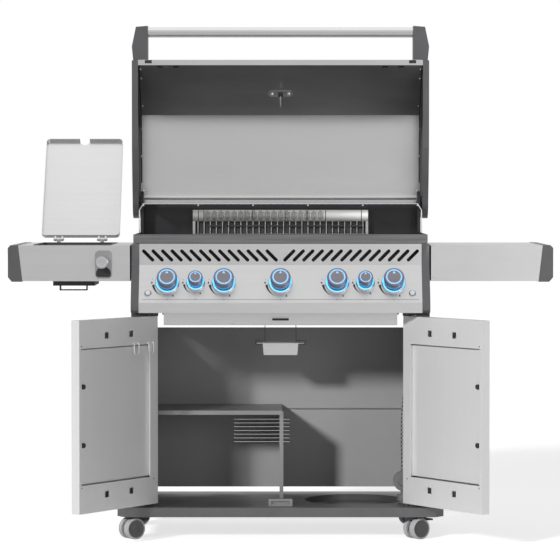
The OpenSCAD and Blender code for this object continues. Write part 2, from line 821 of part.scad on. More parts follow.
module left_shelf() place() color(steel) difference() {
    union() {
        mirror([1, 0, 0])
            shelf_body();
        // lugs for the cover's hinge
        for (s = [-1, 1])
            cover_lug(side_burner_x + s * 70);
    }
    span([side_burner_x - bowl_half[0], bowl_y - bowl_half[1], worktop_z - 20],
        [side_burner_x + bowl_half[0], bowl_y + bowl_half[1], worktop_z + 20]);
    translate([side_knob_pos[0], 0, side_knob_pos[1]])
        rotate([90, 0, 0])
            cylinder(h = 20, r = stem_r + 3, center = true);
    for (s = [-1, 1])
        translate([side_burner_x + s * 70, shelf_pivot_y, cover_pivot_z])
            rotate([0, 90, 0])
                cylinder(h = 40, r = pin_r + run_gap, center = true);
}

module right_shelf() place() color(steel) shelf_body();

module shelf_end_caps() place() color(charcoal) both_sides() difference() {
    shelf_cap_solid(0);
    translate([-6, 0, 0])
        intersection() {
            shelf_cap_solid(6);
            span([0, 4, shelf_z0 + 4], [shelf_out, shelf_depth - 4, worktop_z - 6]);
        }
}

bolt_x = cab_half + 14;
module shelf_bolts() place() color("gray") both_sides()
    for (z = [shelf_z0 + 13, shelf_z0 + 77])
        translate([bolt_x, 0, z])
            rotate([90, 0, 0]) {
                cylinder(h = 1.2, r = 6.5);
                cylinder(h = 3.4, r = 5, $fn = 6);
            }

// ---- side burner ----
cover_pivot_z = worktop_z + 11;
cover_t = 14;

module cover_lug(x) {
    translate([x, shelf_pivot_y, 0])
        along_x(-6, 6)
            union() {
                translate([0, cover_pivot_z])
                    circle(7);
                translate([-7, worktop_z - sheet_t])
                    square([14, cover_pivot_z - worktop_z + sheet_t]);
            }
}

module side_burner_bowl() place() color(dark) translate([side_burner_x, bowl_y, 0]) {
    w = bowl_half[0] - 1;
    d = bowl_half[1] - 1;
    rim = worktop_z;
    floor_z = shelf_z0 - 18;
    difference() {
        union() {
            span([-w, -d, floor_z + 30], [w, d, rim]);
            span([-w - 5, -d - 5, rim], [w + 5, d + 1, rim + sheet_t]);
            span([-65, -110, floor_z], [65, 110, floor_z + 31]);
        }
        span([-w + sheet_t, -d + sheet_t, floor_z + 30 + sheet_t], [w - sheet_t, d - sheet_t, rim + 9]);
        span([-63, -108, floor_z + sheet_t], [63, 108, floor_z + 40]);
    }
}

head_half = [80, 105];
module side_burner_head() place() color(steel) translate([side_burner_x, bowl_y, 0]) {
    z0 = shelf_z0 - 16;
    top = worktop_z - 38;
    difference() {
        span([-head_half[0], -head_half[1], top - 22], [head_half[0], head_half[1], top]);
        span([-head_half[0] + 8, -head_half[1] + 8, top - 6],
            [head_half[0] - 8, head_half[1] - 8, top + 9]);
    }
    for (y = [-70, 70])
        translate([0, y, z0])
            cylinder(h = top - 21 - z0, r = 9);
}

side_rods = 11;
module side_burner_grid() place() color(dark) translate([side_burner_x, bowl_y, 0]) {
    w = bowl_half[0] - 5;
    d = bowl_half[1] - 5;
    z = worktop_z - 8;
    floor_z = shelf_z0 + 12 + sheet_t;
    for (s = [-1, 1]) {
        rod([-w + 4, s * (d - 4), z], [w - 4, s * (d - 4), z], 4);
        for (x = [-1, 1])
            rod([x * (w - 8), s * (d - 4), floor_z], [x * (w - 8), s * (d - 4), z], 4);
    }
    for (i = [0:side_rods - 1])
        let (x = -w + 8 + i * 2 * (w - 8) / (side_rods - 1))
            rod([x, -d + 4, z], [x, d - 4, z], 3.5);
}

// Valve and its bracket under the shelf.
module side_burner_bracket() place() color(dark) {
    floor_z = shelf_z0 - 18;
    translate([side_burner_x - 8, bowl_y, 0]) {
        for (s = [-1, 1])
            span([s * 42 - 1.5, -20, floor_z - 18], [s * 42 + 1.5, 20, floor_z]);
        span([-43, -20, floor_z - 18], [43, 20, floor_z - 15]);
    }
    translate([side_knob_pos[0], 4, side_knob_pos[1]])
        rotate([-90, 0, 0])
            difference() {
                cylinder(h = side_stem + 4, r = 11);
                translate([0, 0, -bite])
                    cylinder(h = side_stem, r = stem_r + run_gap);
            }
    span([side_knob_pos[0] - 14, sheet_t, side_knob_pos[1] - 20],
        [side_knob_pos[0] + 14, 5, side_knob_pos[1] - 9]);
}

// The cover, shut along -Y from its hinge; notched at the front for a finger.
module side_burner_cover() place() color(steel) translate([side_burner_x, shelf_pivot_y, cover_pivot_z])
    rotate([-cover_open, 0, 0]) {
    lo = -8;
    difference() {
        translate([0, -cover_len, lo])
            linear_extrude(cover_t + 2)
                round_rect(cover_w, cover_len - 12, 14);
        translate([0, -cover_len + sheet_t, lo - bite])
            linear_extrude(cover_t + 1)
                round_rect(cover_w - 2 * sheet_t, cover_len - 12 - 2 * sheet_t, 12);
        translate([0, -cover_len, lo - bite])
            cylinder(h = cover_t + 9, r = 16);
    }
    for (s = [-1, 1]) {
        x = s * 70;
        translate([x, 0, 0])
            rotate([0, 90, 0])
                cylinder(h = 34, r = pin_r, center = true);
        for (e = [-1, 1])
            difference() {
                along_x(x + e * 11 - 3, x + e * 11 + 3)
                    polygon([[-16, -5], [3, -5], [6, 0], [3, 6], [-16, 8]]);
                translate([x, 0, 0])
                    rotate([0, 90, 0])
                        cylinder(h = 33, r = pin_r - 0.5, center = true);
            }
    }
}

// ---- drip tray and grease cup ----
tray_half = 363;
tray_z0 = panel_bot - 43;
tray_z1 = panel_bot - 4;
tray_pan = tray_half - 14;
tray_len = 370;
flange_z = tray_z1 - 4;
cup_y = tray_y0 + 180;

module drip_tray() place() color(steel) {
    span([-tray_half, tray_y0, tray_z0], [tray_half, tray_y0 + sheet_t, tray_z1]);
    span([-tray_half, tray_y0 - 4, tray_z0], [tray_half, tray_y0 + sheet_t, tray_z0 + sheet_t]);
    difference() {
        span([-tray_pan, tray_y0 + sheet_t - eps, tray_z0], [tray_pan, tray_y0 + tray_len, tray_z1 - 2]);
        span([-tray_pan + sheet_t, tray_y0 + 2 * sheet_t, tray_z0 + sheet_t],
            [tray_pan - sheet_t, tray_y0 + tray_len - sheet_t, tray_z1]);
        translate([0, cup_y, tray_z0])
            cylinder(h = 20, r = 12, center = true);
    }
    both_sides()
        span([tray_pan - bite, tray_y0, flange_z], [tray_half - 2, tray_y0 + tray_len, flange_z + sheet_t]);
    // finger catch
    difference() {
        span([-27, tray_y0 - 9, tray_z0 + 14], [27, tray_y0 + bite, tray_z0 + 24]);
        span([-24, tray_y0 - 6, tray_z0 + 13], [24, tray_y0 - 0.5, tray_z0 + 21]);
    }
}

hang_x = 48;
hang_w = 79;                // half width of the cup's rails
rail_in = 58;
cup_z1 = tray_z0 - 64;
module grease_cup_holder() place() color(dark) both_sides() {
    y0 = cup_y - 36;
    y1 = cup_y + 36;
    span([hang_x, y0, cup_z1 + 7], [hang_x + sheet_t, y1, tray_z0]);
    span([hang_x, y0, cup_z1 + 6], [hang_w, y1, cup_z1 + 8]);
    span([hang_w - 2, y0, cup_z1 - 4], [hang_w, y1, cup_z1 + 7]);
    span([rail_in, y0, cup_z1 - 4], [hang_w, y1, cup_z1 - 2]);
}

cup_h = 37;
cup_d = 34;
module grease_cup() place() color(steel) translate([0, cup_y, cup_z1 - cup_h]) {
    difference() {
        union() {
            along_y(-cup_d, cup_d)
                polygon([[-53, 0], [53, 0], [56, cup_h], [-56, cup_h]]);
            span([4 - hang_w, -cup_d - 2, cup_h - 1.2], [hang_w - 4, cup_d + 2, cup_h + 0.6]);
        }
        along_y(-cup_d + 1.5, cup_d - 1.5)
            polygon([[-51.5, 1.5], [51.5, 1.5], [54.5, cup_h + 2], [-54.5, cup_h + 2]]);
    }
}

// ---- lid, drawn shut and then turned open ----
lid_foot = [36, lid_z0];
bend_c = let (z = lid_z0 + lid_rise - lid_bend,
    t = (z - lid_z0 + lid_bend * cos(lid_slope)) / sin(lid_slope))
    [lid_foot[0] + t * cos(lid_slope) + lid_bend * sin(lid_slope), z];
lid_half = panel_half - 3.5;
side_t = 20;
side_off = 12;
tail_r = 57;
tail_top = 87;
rear_c = [lid_pivot[0] - 18, lid_z0 + lid_rise - 16];

module lid_place() place() translate([0, lid_pivot[0], lid_pivot[1]])
    rotate([-lid_open, 0, 0])
    translate([0, -lid_pivot[0], -lid_pivot[1]]) children();

// The sheet's inner face, from the front rim over the top to the back seal, and
// the same path shifted outwards. The front is folded once below the crown.
crown = lid_z0 + lid_rise;
fold_z = crown - 28;
fold_y0 = lid_foot[0] + (fold_z - lid_z0) / tan(lid_slope);
fold_y = [fold_y0, fold_y0 + 44];
seal_z = lid_pivot[1] + 32;
inner_path = concat(
    [lid_foot, [fold_y[0], fold_z], [fold_y[1], fold_z + 13], [fold_y[1] + 40, fold_z + 19],
        [fold_y[1] + 90, fold_z + 24], [rear_c[0] - 40, crown]],
    arc(rear_c, 16, 90, 0, 6),
    [[rear_c[0] + 16, seal_z]]);

function side_of(a, b) = let (d = unit(b - a)) [-d[1], d[0]];
function shifted(p, off) = [for (i = [0:len(p) - 1])
    let (last = len(p) - 1, a = i > 0 ? side_of(p[i - 1], p[i]) : side_of(p[0], p[1]),
        b = i < last ? side_of(p[i], p[i + 1]) : a)
        p[i] + off * (a + b) / (1 + a * b)];

lip_w = 17;
seal_w = 17;
thermo_run = 130;
module on_lid_front(run) {
    translate([0, lid_foot[0] + run * cos(lid_slope), lid_foot[1] + run * sin(lid_slope)])
        rotate([lid_slope, 0, 0])
            children();
}

module lid_shell() lid_place() color(steel) difference() {
    union() {
        along_x(-lid_half, lid_half)
            polygon(concat(shifted(inner_path, sheet_t),
                [for (i = [len(inner_path) - 1:-1:0]) inner_path[i]]));
        span([-lid_half, lid_foot[0] - lip_w, lid_z0], [lid_half, lid_foot[0] + 1, lid_z0 + sheet_t]);
        // flange that seals against the back wall
        span([-lid_half, rear_c[0] + 16, seal_z], [lid_half, rear_c[0] + 16 + seal_w, seal_z + sheet_t]);
    }
    on_lid_front(thermo_run)
        cylinder(h = 20, r = 8 + run_gap, center = true);
}

function side_outline(in) = let (off = side_off - in) concat(
    [[lid_foot[0] + in / tan(lid_slope) - off / sin(lid_slope), lid_z0 + in]],
    arc(bend_c, lid_bend + off, 90 + lid_slope, 90, 16),
    arc([lid_pivot[0] + tail_r - tail_top, lid_z0 + lid_rise + side_off - tail_top],
        tail_top - in, 90, 0, 12),
    arc(lid_pivot, tail_r - in, 0, -90, 12),
    [[lid_pivot[0] - 80, lid_z0 + 18 + in], [lid_pivot[0] - 170, lid_z0 + in]]);

// Side castings with the horns that hold the handle, and the pivot pins.
handle_c = [-70, lid_z0 + 36];
horn_in = 425;
module lid_ends() lid_place() color(charcoal) both_sides() {
    difference() {
        along_x(lid_half, lid_half + side_t)
            polygon(side_outline(0));
        along_x(lid_half - bite, lid_half + side_t - 8)
            polygon(side_outline(14));
    }
    translate([0, lid_pivot[0], lid_pivot[1]])
        rotate([0, 90, 0]) {
            translate([0, 0, box_half - ear_t - 1])
                cylinder(h = 22, r = lid_pin_r);
            translate([0, 0, box_half + 1])
                cylinder(h = lid_half + side_t - 4 - box_half, r = 15);
        }
    // horn
    translate([0, 0, lid_z0 + 4])
        linear_extrude(62)
            polygon([[horn_in, handle_c[0] - 20], [horn_in, lid_foot[0] - 18], [lid_half, lid_foot[0] - 18],
                [lid_half, lid_foot[0] - 6], [lid_half + 14, lid_foot[0] + 4],
                [lid_half + side_t, handle_c[0] + 46], [lid_half + 7, handle_c[0] - 17]]);
}

module lid_handle() lid_place() color(steel)
    translate([-horn_in, handle_c[0], handle_c[1]])
        rotate([0, 90, 0])
            cylinder(h = 2 * horn_in, r = handle_d / 2);

module lid_thermometer() lid_place() color(steel) on_lid_front(thermo_run) {
    translate([0, 0, sheet_t]) {
        difference() {
            cylinder(h = 14, r1 = 42, r2 = 38);
            translate([0, 0, 10])
                cylinder(h = 9, r = 34);
        }
    }
    translate([0, 0, -14])
        cylinder(h = 20, r = 8);
    translate([0, 0, -60])
        cylinder(h = 50, r = 3);
    // bracket and nuts inside the lid
    span([-40, -14, -3], [40, 14, 0]);
    for (x = [-27, 27])
        translate([x, 0, -9])
            cylinder(h = 7, r = 6);
}

module lid_bumpers() lid_place() color(dark) both_sides()
    span([412, lid_foot[0] - 16, lid_z0 - 2.5], [434, lid_foot[0] - 6, lid_z0]);

// ---- casters ----
wheel_r = wheel_d / 2;
web_t = 6;
hub_r = 4;

// Puts a caster's own frame at its stem: stem along +Z, axle along Y.
module at_caster(id) place() translate([id[0] * caster_x, caster_y[id[1]], 0])
    rotate([0, 0, caster_turn]) children();

module caster_fork() color(dark) {
    difference() {
        union() {
            translate([-trail, 0, wheel_r])
                rotate([90, 0, 0])
                    cylinder(h = 2 * web_t, r = wheel_r - 7, center = true);
            span([-22, -web_t, wheel_r + 8], [13, web_t, base_z - 4]);
            translate([0, 0, base_z - 4 - eps])
                cylinder(h = 3.4, r = 16);
        }
        translate([9, 0, base_z - 12])
            rotate([90, 0, 0])
                cylinder(h = 30, r = brake_r + run_gap, center = true);
        for (s = [-1, 1])
            translate([9, s * (web_t + 1.5), base_z - 12])
                cube([22, web_t, 30], center = true);
    }
    translate([0, 0, base_z - 4])
        cylinder(h = stem_len + 3, r = caster_stem_r);
    translate([-trail, 0, wheel_r])
        rotate([90, 0, 0])
            cylinder(h = 2 * (web_t + 1.5 + wheel_w - 4), r = hub_r, center = true);
}

module caster_wheels() color("gray")
    translate([-trail, 0, wheel_r])
        for (s = [-1, 1])
            rotate([s * 90, 0, 0])
                translate([0, 0, web_t + 1.5])
                    difference() {
                        union() {
                            cylinder(h = wheel_w - 2, r = wheel_r, $fn = 64);
                            translate([0, 0, wheel_w - 2 - eps])
                                cylinder(h = 2, r1 = wheel_r - 1, r2 = wheel_r - 3.5, $fn = 64);
                        }
                        translate([0, 0, -bite])
                            cylinder(h = wheel_w - 3 + bite, r = hub_r + run_gap);
                    }

brake_r = 2.5;
module caster_brake() color(dark) {
    z = base_z - 12;
    for (s = [-1, 1])
        span([5, min(s * 5, s * 7.2), z - 4], [20, max(s * 5, s * 7.2), z + 4]);
    span([15, -9, z - 4], [34, 9, z + 1]);
    translate([9, 0, z])
        rotate([90, 0, 0])
            cylinder(h = 14, r = brake_r, center = true);
}

module front_left_caster() at_caster(caster_ids[0]) caster_fork();
module front_left_wheels() at_caster(caster_ids[0]) caster_wheels();
module front_left_brake() at_caster(caster_ids[0]) caster_brake();
module front_right_caster() at_caster(caster_ids[1]) caster_fork();
module front_right_wheels() at_caster(caster_ids[1]) caster_wheels();
module front_right_brake() at_caster(caster_ids[1]) caster_brake();
module rear_left_caster() at_caster(caster_ids[2]) caster_fork();
module rear_left_wheels() at_caster(caster_ids[2]) caster_wheels();
module rear_right_caster() at_caster(caster_ids[3]) caster_fork();
module rear_right_wheels() at_caster(caster_ids[3]) caster_wheels();

// ---- placing ----
// The front is an open door's lower corner; the back is the open cover's tip.
front_y = pin_y - door_x1 * sin(door_open) + door_pin_in * cos(door_open);
rear_y = shelf_pivot_y - cover_len * cos(cover_open) + (cover_t - 6) * sin(cover_open);
mid_y = (front_y + rear_y) / 2;

module place() {
    translate([0, -mid_y, 0])
        children();
}

// Extrudes an outline given in (x, z) along Y, from y0 to y1.
module along_y(y0, y1) {
    translate([0, y1, 0])
        rotate([90, 0, 0])
            linear_extrude(y1 - y0)
                children();
}

base_pan();
side_panels();
back_panel();
cabinet_shelf();
divider();
door_catch();
door_hinges();
firebox();
main_burners();
sear_plates();
cooking_grids();
warming_rack();
rear_burner();
gas_manifold();
control_panel();
panel_end_caps();
knob_bezels();
knob_1();
knob_2();
knob_3();
knob_4();
knob_5();
knob_6();
knob_7();
side_knob();
ignition_button();
light_button();
left_shelf();
right_shelf();
shelf_end_caps();
shelf_bolts();
side_burner_bowl();
side_burner_head();
side_burner_grid();
side_burner_bracket();
side_burner_cover();
drip_tray();
grease_cup_holder();
grease_cup();
left_door();
left_door_handle();
right_door();
right_door_handle();
lid_shell();
lid_ends();
lid_handle();
lid_thermometer();
lid_bumpers();
front_left_caster();
front_left_wheels();
front_left_brake();
front_right_caster();
front_right_wheels();
front_right_brake();
rear_left_caster();
rear_left_wheels();
rear_right_caster();
rear_right_wheels();
gas_hose();
regulator();
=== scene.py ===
from math import atan2, cos, hypot, pi, radians, sin, tan

import bmesh
import bpy
from mathutils import Matrix, Vector


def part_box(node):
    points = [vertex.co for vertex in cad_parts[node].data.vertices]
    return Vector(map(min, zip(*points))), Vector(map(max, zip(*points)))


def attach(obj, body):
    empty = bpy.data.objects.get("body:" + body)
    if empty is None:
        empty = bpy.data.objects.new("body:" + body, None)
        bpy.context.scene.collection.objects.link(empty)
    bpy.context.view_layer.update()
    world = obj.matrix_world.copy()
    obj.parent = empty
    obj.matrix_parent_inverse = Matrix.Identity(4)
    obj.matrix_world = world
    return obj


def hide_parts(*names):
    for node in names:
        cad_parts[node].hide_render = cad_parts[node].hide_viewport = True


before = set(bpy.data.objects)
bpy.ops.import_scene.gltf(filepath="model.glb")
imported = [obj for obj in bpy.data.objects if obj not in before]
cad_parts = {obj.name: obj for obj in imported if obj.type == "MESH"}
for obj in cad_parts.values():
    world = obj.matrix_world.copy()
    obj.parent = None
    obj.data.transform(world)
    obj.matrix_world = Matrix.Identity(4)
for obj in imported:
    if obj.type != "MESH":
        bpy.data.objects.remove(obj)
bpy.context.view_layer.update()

mm = 0.001
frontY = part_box("left_shelf")[0].y        # the plane of the side shelves' fascias
cart = Matrix.Translation((0, frontY, 0))


# mesh helpers: sizes in millimetres, placed by a matrix
def turned(degrees, axis):
    return Matrix.Rotation(radians(degrees), 4, axis)


def moved(x, y, z):
    return Matrix.Translation(Vector((x, y, z)) * mm)


def addBox(bm, lo, hi, place=cart, edge=0):
    lo, hi = Vector(lo) * mm, Vector(hi) * mm
    fit = place @ Matrix.Translation((lo + hi) / 2) @ Matrix.Diagonal((*(hi - lo), 1))
    verts = bmesh.ops.create_cube(bm, size=1, matrix=fit)["verts"]
    if edge:
        edges = list({e for v in verts for e in v.link_edges})
        bmesh.ops.bevel(bm, geom=edges, offset=edge * mm, affect="EDGES", segments=2,
                        profile=0.5, material=-1)


def addRod(bm, a, b, radius, sides=24, place=cart):
    a, b = place @ (Vector(a) * mm), place @ (Vector(b) * mm)
    run = b - a
    fit = Matrix.Translation((a + b) / 2) @ run.to_track_quat("Z", "Y").to_matrix().to_4x4()
    bmesh.ops.create_cone(bm, cap_ends=True, segments=sides, radius1=radius * mm,
                          radius2=radius * mm, depth=run.length, matrix=fit)


def addLathe(bm, profile, place, steps=48):
    # a profile of radius and height, spun about z and then placed
    verts = [bm.verts.new((r * mm, 0, h * mm)) for r, h in profile]
    edges = [bm.edges.new(pair) for pair in zip(verts, verts[1:])]
    bmesh.ops.spin(bm, geom=verts + edges, cent=(0, 0, 0), axis=(0, 0, 1), angle=2 * pi,
                   steps=steps, use_merge=True)
    spun = set(verts)
    stack = list(verts)
    while stack:
        for e in stack.pop().link_edges:
            for v in e.verts:
                if v not in spun:
                    spun.add(v)
                    stack.append(v)
    bmesh.ops.transform(bm, matrix=place, verts=list(spun))


def addOutline(bm, outline, depth, place=cart, edge=0):
    # an outline in x and y, raised along z from depth[0] to depth[1]
    verts = [bm.verts.new((x * mm, y * mm, depth[0] * mm)) for x, y in outline]
    face = bm.faces.new(verts)
    top = bmesh.ops.extrude_face_region(bm, geom=[face])["geom"]
    topVerts = [g for g in top if isinstance(g, bmesh.types.BMVert)]
    bmesh.ops.translate(bm, verts=topVerts, vec=(0, 0, (depth[1] - depth[0]) * mm))
    every = verts + topVerts
    if edge:
        edges = list({e for v in every for e in v.link_edges})
        rounded = bmesh.ops.bevel(bm, geom=edges, offset=edge * mm, affect="EDGES", segments=2,
                                  profile=0.5, material=-1)["faces"]
        every = list({v for f in rounded for v in f.verts} | {v for v in every if v.is_valid})
    bmesh.ops.transform(bm, matrix=place, verts=every)


def addTube(bm, points, radius, sides, place=cart):
    # rings that follow the points without twisting, bridged and capped
    points = [place @ (Vector(p) * mm) for p in points]
    rings = []
    side = None
    for i, point in enumerate(points):
        ahead = points[min(i + 1, len(points) - 1)] - points[max(i - 1, 0)]
        ahead.normalize()
        if side is None:
            side = ahead.orthogonal().normalized()
        side = (side - ahead * side.dot(ahead)).normalized()
        turn = Matrix((side, ahead.cross(side), ahead)).transposed().to_4x4()
        ring = bmesh.ops.create_circle(bm, cap_ends=False, radius=radius * mm, segments=sides,
                                       matrix=Matrix.Translation(point) @ turn)["verts"]
        rings.append(ring)
    for a, b in zip(rings, rings[1:]):
        edges = [e for v in a + b for e in v.link_edges
                 if (e.verts[0] in a) == (e.verts[1] in a) and len(e.link_faces) < 2]
        bmesh.ops.bridge_loops(bm, edges=list(set(edges)))
    for ring in (rings[0], rings[-1]):
        bmesh.ops.contextual_create(bm, geom=ring)
    return rings


def arcPoints(centre, radius, start, end, steps):
    return [(centre[0] + radius * cos(radians(start + (end - start) * i / steps)),
             centre[1] + radius * sin(radians(start + (end - start) * i / steps)))
            for i in range(steps + 1)]


def roundedRect(width, height, corner, steps=6, centre=(0, 0)):
    x, y = width / 2 - corner, height / 2 - corner
    cx, cy = centre
    return (arcPoints((cx + x, cy + y), corner, 0, 90, steps)
            + arcPoints((cx - x, cy + y), corner, 90, 180, steps)
            + arcPoints((cx - x, cy - y), corner, 180, 270, steps)
            + arcPoints((cx + x, cy - y), corner, 270, 360, steps))


def finishPiece(name, bm, material, body, replaces=(), smooth=32, bevel=0):
    # the finished mesh stands at the origin, smooth but for edges sharper than the angle
    bmesh.ops.remove_doubles(bm, verts=bm.verts, dist=0.000005)
    bmesh.ops.recalc_face_normals(bm, faces=bm.faces)
    mesh = bpy.data.meshes.new(name)
    bm.to_mesh(mesh)
    bm.free()
    for polygon in mesh.polygons:
        polygon.use_smooth = True
    mesh.set_sharp_from_angle(angle=radians(smooth))
    mesh.materials.append(material)
    piece = bpy.data.objects.new(name, mesh)
    bpy.context.scene.collection.objects.link(piece)
    if bevel:
        rounding = piece.modifiers.new("softEdges", "BEVEL")
        rounding.width = bevel * mm
        rounding.segments = 2
        rounding.limit_method = "ANGLE"
        rounding.angle_limit = radians(35)
    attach(piece, body)
    if replaces:
        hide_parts(*replaces)
    return piece


def softenedCopy(node, name, material, body, edge):
    # a merged copy of a CAD piece with its edges rounded
    bm = bmesh.new()
    bm.from_mesh(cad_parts[node].data)
    bmesh.ops.remove_doubles(bm, verts=bm.verts, dist=0.00001)
    bmesh.ops.dissolve_limit(bm, angle_limit=radians(1), verts=bm.verts, edges=bm.edges)
    finishPiece(name, bm, material, body, (node,), bevel=edge)


# shader nodes: expressions on values add their own Math nodes
class Value:
    def __init__(self, nodes, socket):
        self.nodes = nodes
        self.socket = socket

    def math(self, operation, first, second):
        return self.nodes.node("ShaderNodeMath", {"operation": operation}, {0: first, 1: second})

    def __add__(self, other):
        return self.math("ADD", self, other)

    def __sub__(self, other):
        return self.math("SUBTRACT", self, other)

    def __rsub__(self, other):
        return self.math("SUBTRACT", other, self)

    def __mul__(self, other):
        return self.math("MULTIPLY", self, other)

    def __lt__(self, other):
        return self.math("LESS_THAN", self, other)

    def larger(self, other):
        return self.math("MAXIMUM", self, other)

    def wave(self):
        return self.math("SINE", self, 0)

    __radd__ = __add__
    __rmul__ = __mul__


class Nodes:
    def __init__(self, tree):
        self.tree = tree

    def node(self, kind, settings=None, sockets=None, out=0):
        made = self.tree.nodes.new(kind)
        for setting, value in (settings or {}).items():
            if setting == "stops":
                ramp = made.color_ramp.elements
                while len(ramp) < len(value):
                    ramp.new(0.5)
                for element, (place, shade) in zip(ramp, value):
                    element.position = place
                    element.color = (shade, shade, shade, 1)
            else:
                setattr(made, setting, value)
        for socket, value in (sockets or {}).items():
            if isinstance(value, Value):
                self.tree.links.new(value.socket, made.inputs[socket])
            else:
                made.inputs[socket].default_value = value
        return Value(self, made.outputs[out]) if made.outputs else None


class Finish(Nodes):
    def __init__(self, name, colour, metallic=0.0, roughness=0.5, **more):
        self.material = bpy.data.materials.new(name)
        self.material.use_nodes = True
        super().__init__(self.material.node_tree)
        self.shader = self.tree.nodes["Principled BSDF"]
        self.fixed("Base Color", (*colour, 1))
        self.fixed("Metallic", metallic)
        self.fixed("Roughness", roughness)
        for socket, value in more.items():
            self.fixed(socket.replace("_", " "), value)

    def fixed(self, socket, value):
        self.shader.inputs[socket].default_value = value

    def drive(self, socket, value):
        self.tree.links.new(value.socket, self.shader.inputs[socket])

    def coords(self, stretch=(1, 1, 1)):
        place = self.node("ShaderNodeTexCoord", out="Object")
        return self.node("ShaderNodeMapping", {}, {"Vector": place, "Scale": stretch})

    def part(self, vector, axis):
        return self.node("ShaderNodeSeparateXYZ", {}, {0: vector}, out="XYZ".index(axis))

    def noise(self, where, scale, detail=3, rough=0.6):
        return self.node("ShaderNodeTexNoise", {}, {
            "Vector": where, "Scale": scale, "Detail": detail, "Roughness": rough})

    def spread(self, value, low, high):
        # the middle of a noise's range, stretched from low to high
        return self.node("ShaderNodeMapRange", {}, {
            "Value": value, "From Min": 0.3, "From Max": 0.7, "To Min": low, "To Max": high})

    def mix(self, mask, first, second):
        # the Mix node's colours are sockets 6 and 7 going in and 2 coming out
        return self.node("ShaderNodeMix", {"data_type": "RGBA"}, {0: mask, 6: first, 7: second},
                         out=2)

    def shades(self, mask, dark, light):
        return self.mix(mask, (*dark, 1), (*light, 1))

    def bump(self, height, strength, distance):
        self.drive("Normal", self.node("ShaderNodeBump", {}, {
            "Height": height, "Strength": strength, "Distance": distance}))


# materials
def scaled(colour, factor):
    return tuple(min(1, c * factor) for c in colour)


def brushedMetal(name, colour, roughness, along=0, depth=0.03, contrast=0.06, smudge=0.05,
                 metallic=1.0):
    # rolled sheet with a brushed grain running along one axis
    finish = Finish(name, colour, metallic=metallic, roughness=roughness)
    stretch = [300, 300, 300]
    stretch[along] = 3
    grain = finish.noise(finish.coords(stretch), 4, 3, 0.7)
    stretch = [38, 38, 38]
    stretch[along] = 0.7
    streak = finish.noise(finish.coords(stretch), 2, 2, 0.5)
    cloud = finish.noise(finish.coords(), 5, 2, 0.5)
    mask = grain * 0.5 + streak * 0.3 + cloud * 0.2
    tone = finish.spread(mask, 0, 1)
    finish.drive("Base Color", finish.shades(tone, scaled(colour, 1 - contrast),
                                             scaled(colour, 1 + contrast)))
    finish.drive("Roughness", finish.spread(grain * 0.6 + cloud * 0.4, roughness - smudge,
                                            roughness + smudge))
    finish.bump(grain, depth, 0.0004)
    return finish.material


def powderCoat(name, colour, roughness, metallic=0.0, contrast=0.12):
    # baked paint: a fine orange peel with slightly worn tone
    finish = Finish(name, colour, metallic=metallic, roughness=roughness)
    peel = finish.noise(finish.coords(), 900, 2, 0.5)
    cloud = finish.noise(finish.coords(), 7, 4, 0.6)
    tone = finish.spread(cloud * 0.7 + peel * 0.3, 0, 1)
    finish.drive("Base Color", finish.shades(tone, scaled(colour, 1 - contrast),
                                             scaled(colour, 1 + contrast)))
    finish.drive("Roughness", finish.spread(cloud, roughness - 0.05, roughness + 0.06))
    finish.bump(peel, 0.12, 0.0003)
    return finish.material


def castIron(name, colour):
    # enamelled cast bars with a baked-on film
    finish = Finish(name, colour, roughness=0.42, Coat_Weight=0.3)
    pits = finish.noise(finish.coords(), 420, 4, 0.7)
    soot = finish.noise(finish.coords(), 24, 4, 0.6)
    finish.drive("Base Color", finish.shades(finish.spread(soot, 0, 1), scaled(colour, 0.7),
                                             scaled(colour, 1.5)))
    finish.drive("Roughness", finish.spread(soot, 0.34, 0.6))
    finish.bump(pits, 0.35, 0.0006)
    return finish.material


def moulded(name, colour, roughness, scale=500, depth=0.1):
    # plastic or rubber with a fine grain, rubbed a little in places
    finish = Finish(name, colour, roughness=roughness)
    grain = finish.noise(finish.coords(), scale, 3, 0.6)
    wear = finish.noise(finish.coords(), 12, 3, 0.6)
    finish.drive("Base Color", finish.shades(finish.spread(wear, 0, 1), scaled(colour, 0.85),
                                             scaled(colour, 1.2)))
    finish.drive("Roughness", finish.spread(wear, roughness - 0.06, roughness + 0.08))
    finish.bump(grain, depth, 0.0004)
    return finish.material


def lidSheet(name, colour, roughness):
    # brushed sheet whose sloping inner face, turned downward, carries painted shade: darker and
    # rougher there
    slopeShade = {"from": -0.55, "to": -0.72, "dark": 0.44, "light": 0.54}
    finish = Finish(name, colour, metallic=1.0, roughness=roughness)
    grain = finish.noise(finish.coords((3, 260, 260)), 4, 3, 0.7)
    cloud = finish.noise(finish.coords((1.2, 6, 6)), 2, 3, 0.5)
    facing = finish.part(finish.node("ShaderNodeTexCoord", out="Normal"), "Z")
    # painted shade mask: faces whose normal points downward take the darker tone
    shadeMask = finish.node("ShaderNodeMapRange", {}, {
        "Value": facing, "From Min": slopeShade["from"], "From Max": slopeShade["to"],
        "To Min": 0, "To Max": 1})
    unshadedTone = finish.shades(finish.spread(grain * 0.5 + cloud * 0.5, 0, 1), scaled(colour, 0.95),
                          scaled(colour, 1.05))
    # the painted shade tone laid over the downward-facing slope
    shadedTone = finish.shades(finish.spread(cloud, 0, 1), scaled(colour, slopeShade["dark"]),
                          scaled(colour, slopeShade["light"]))
    finish.drive("Base Color", finish.mix(shadeMask, unshadedTone, shadedTone))
    smooth = finish.spread(cloud, roughness - 0.03, roughness + 0.03)
    finish.drive("Roughness", smooth + shadeMask * 0.12)
    finish.bump(grain, 0.012, 0.0004)
    return finish.material


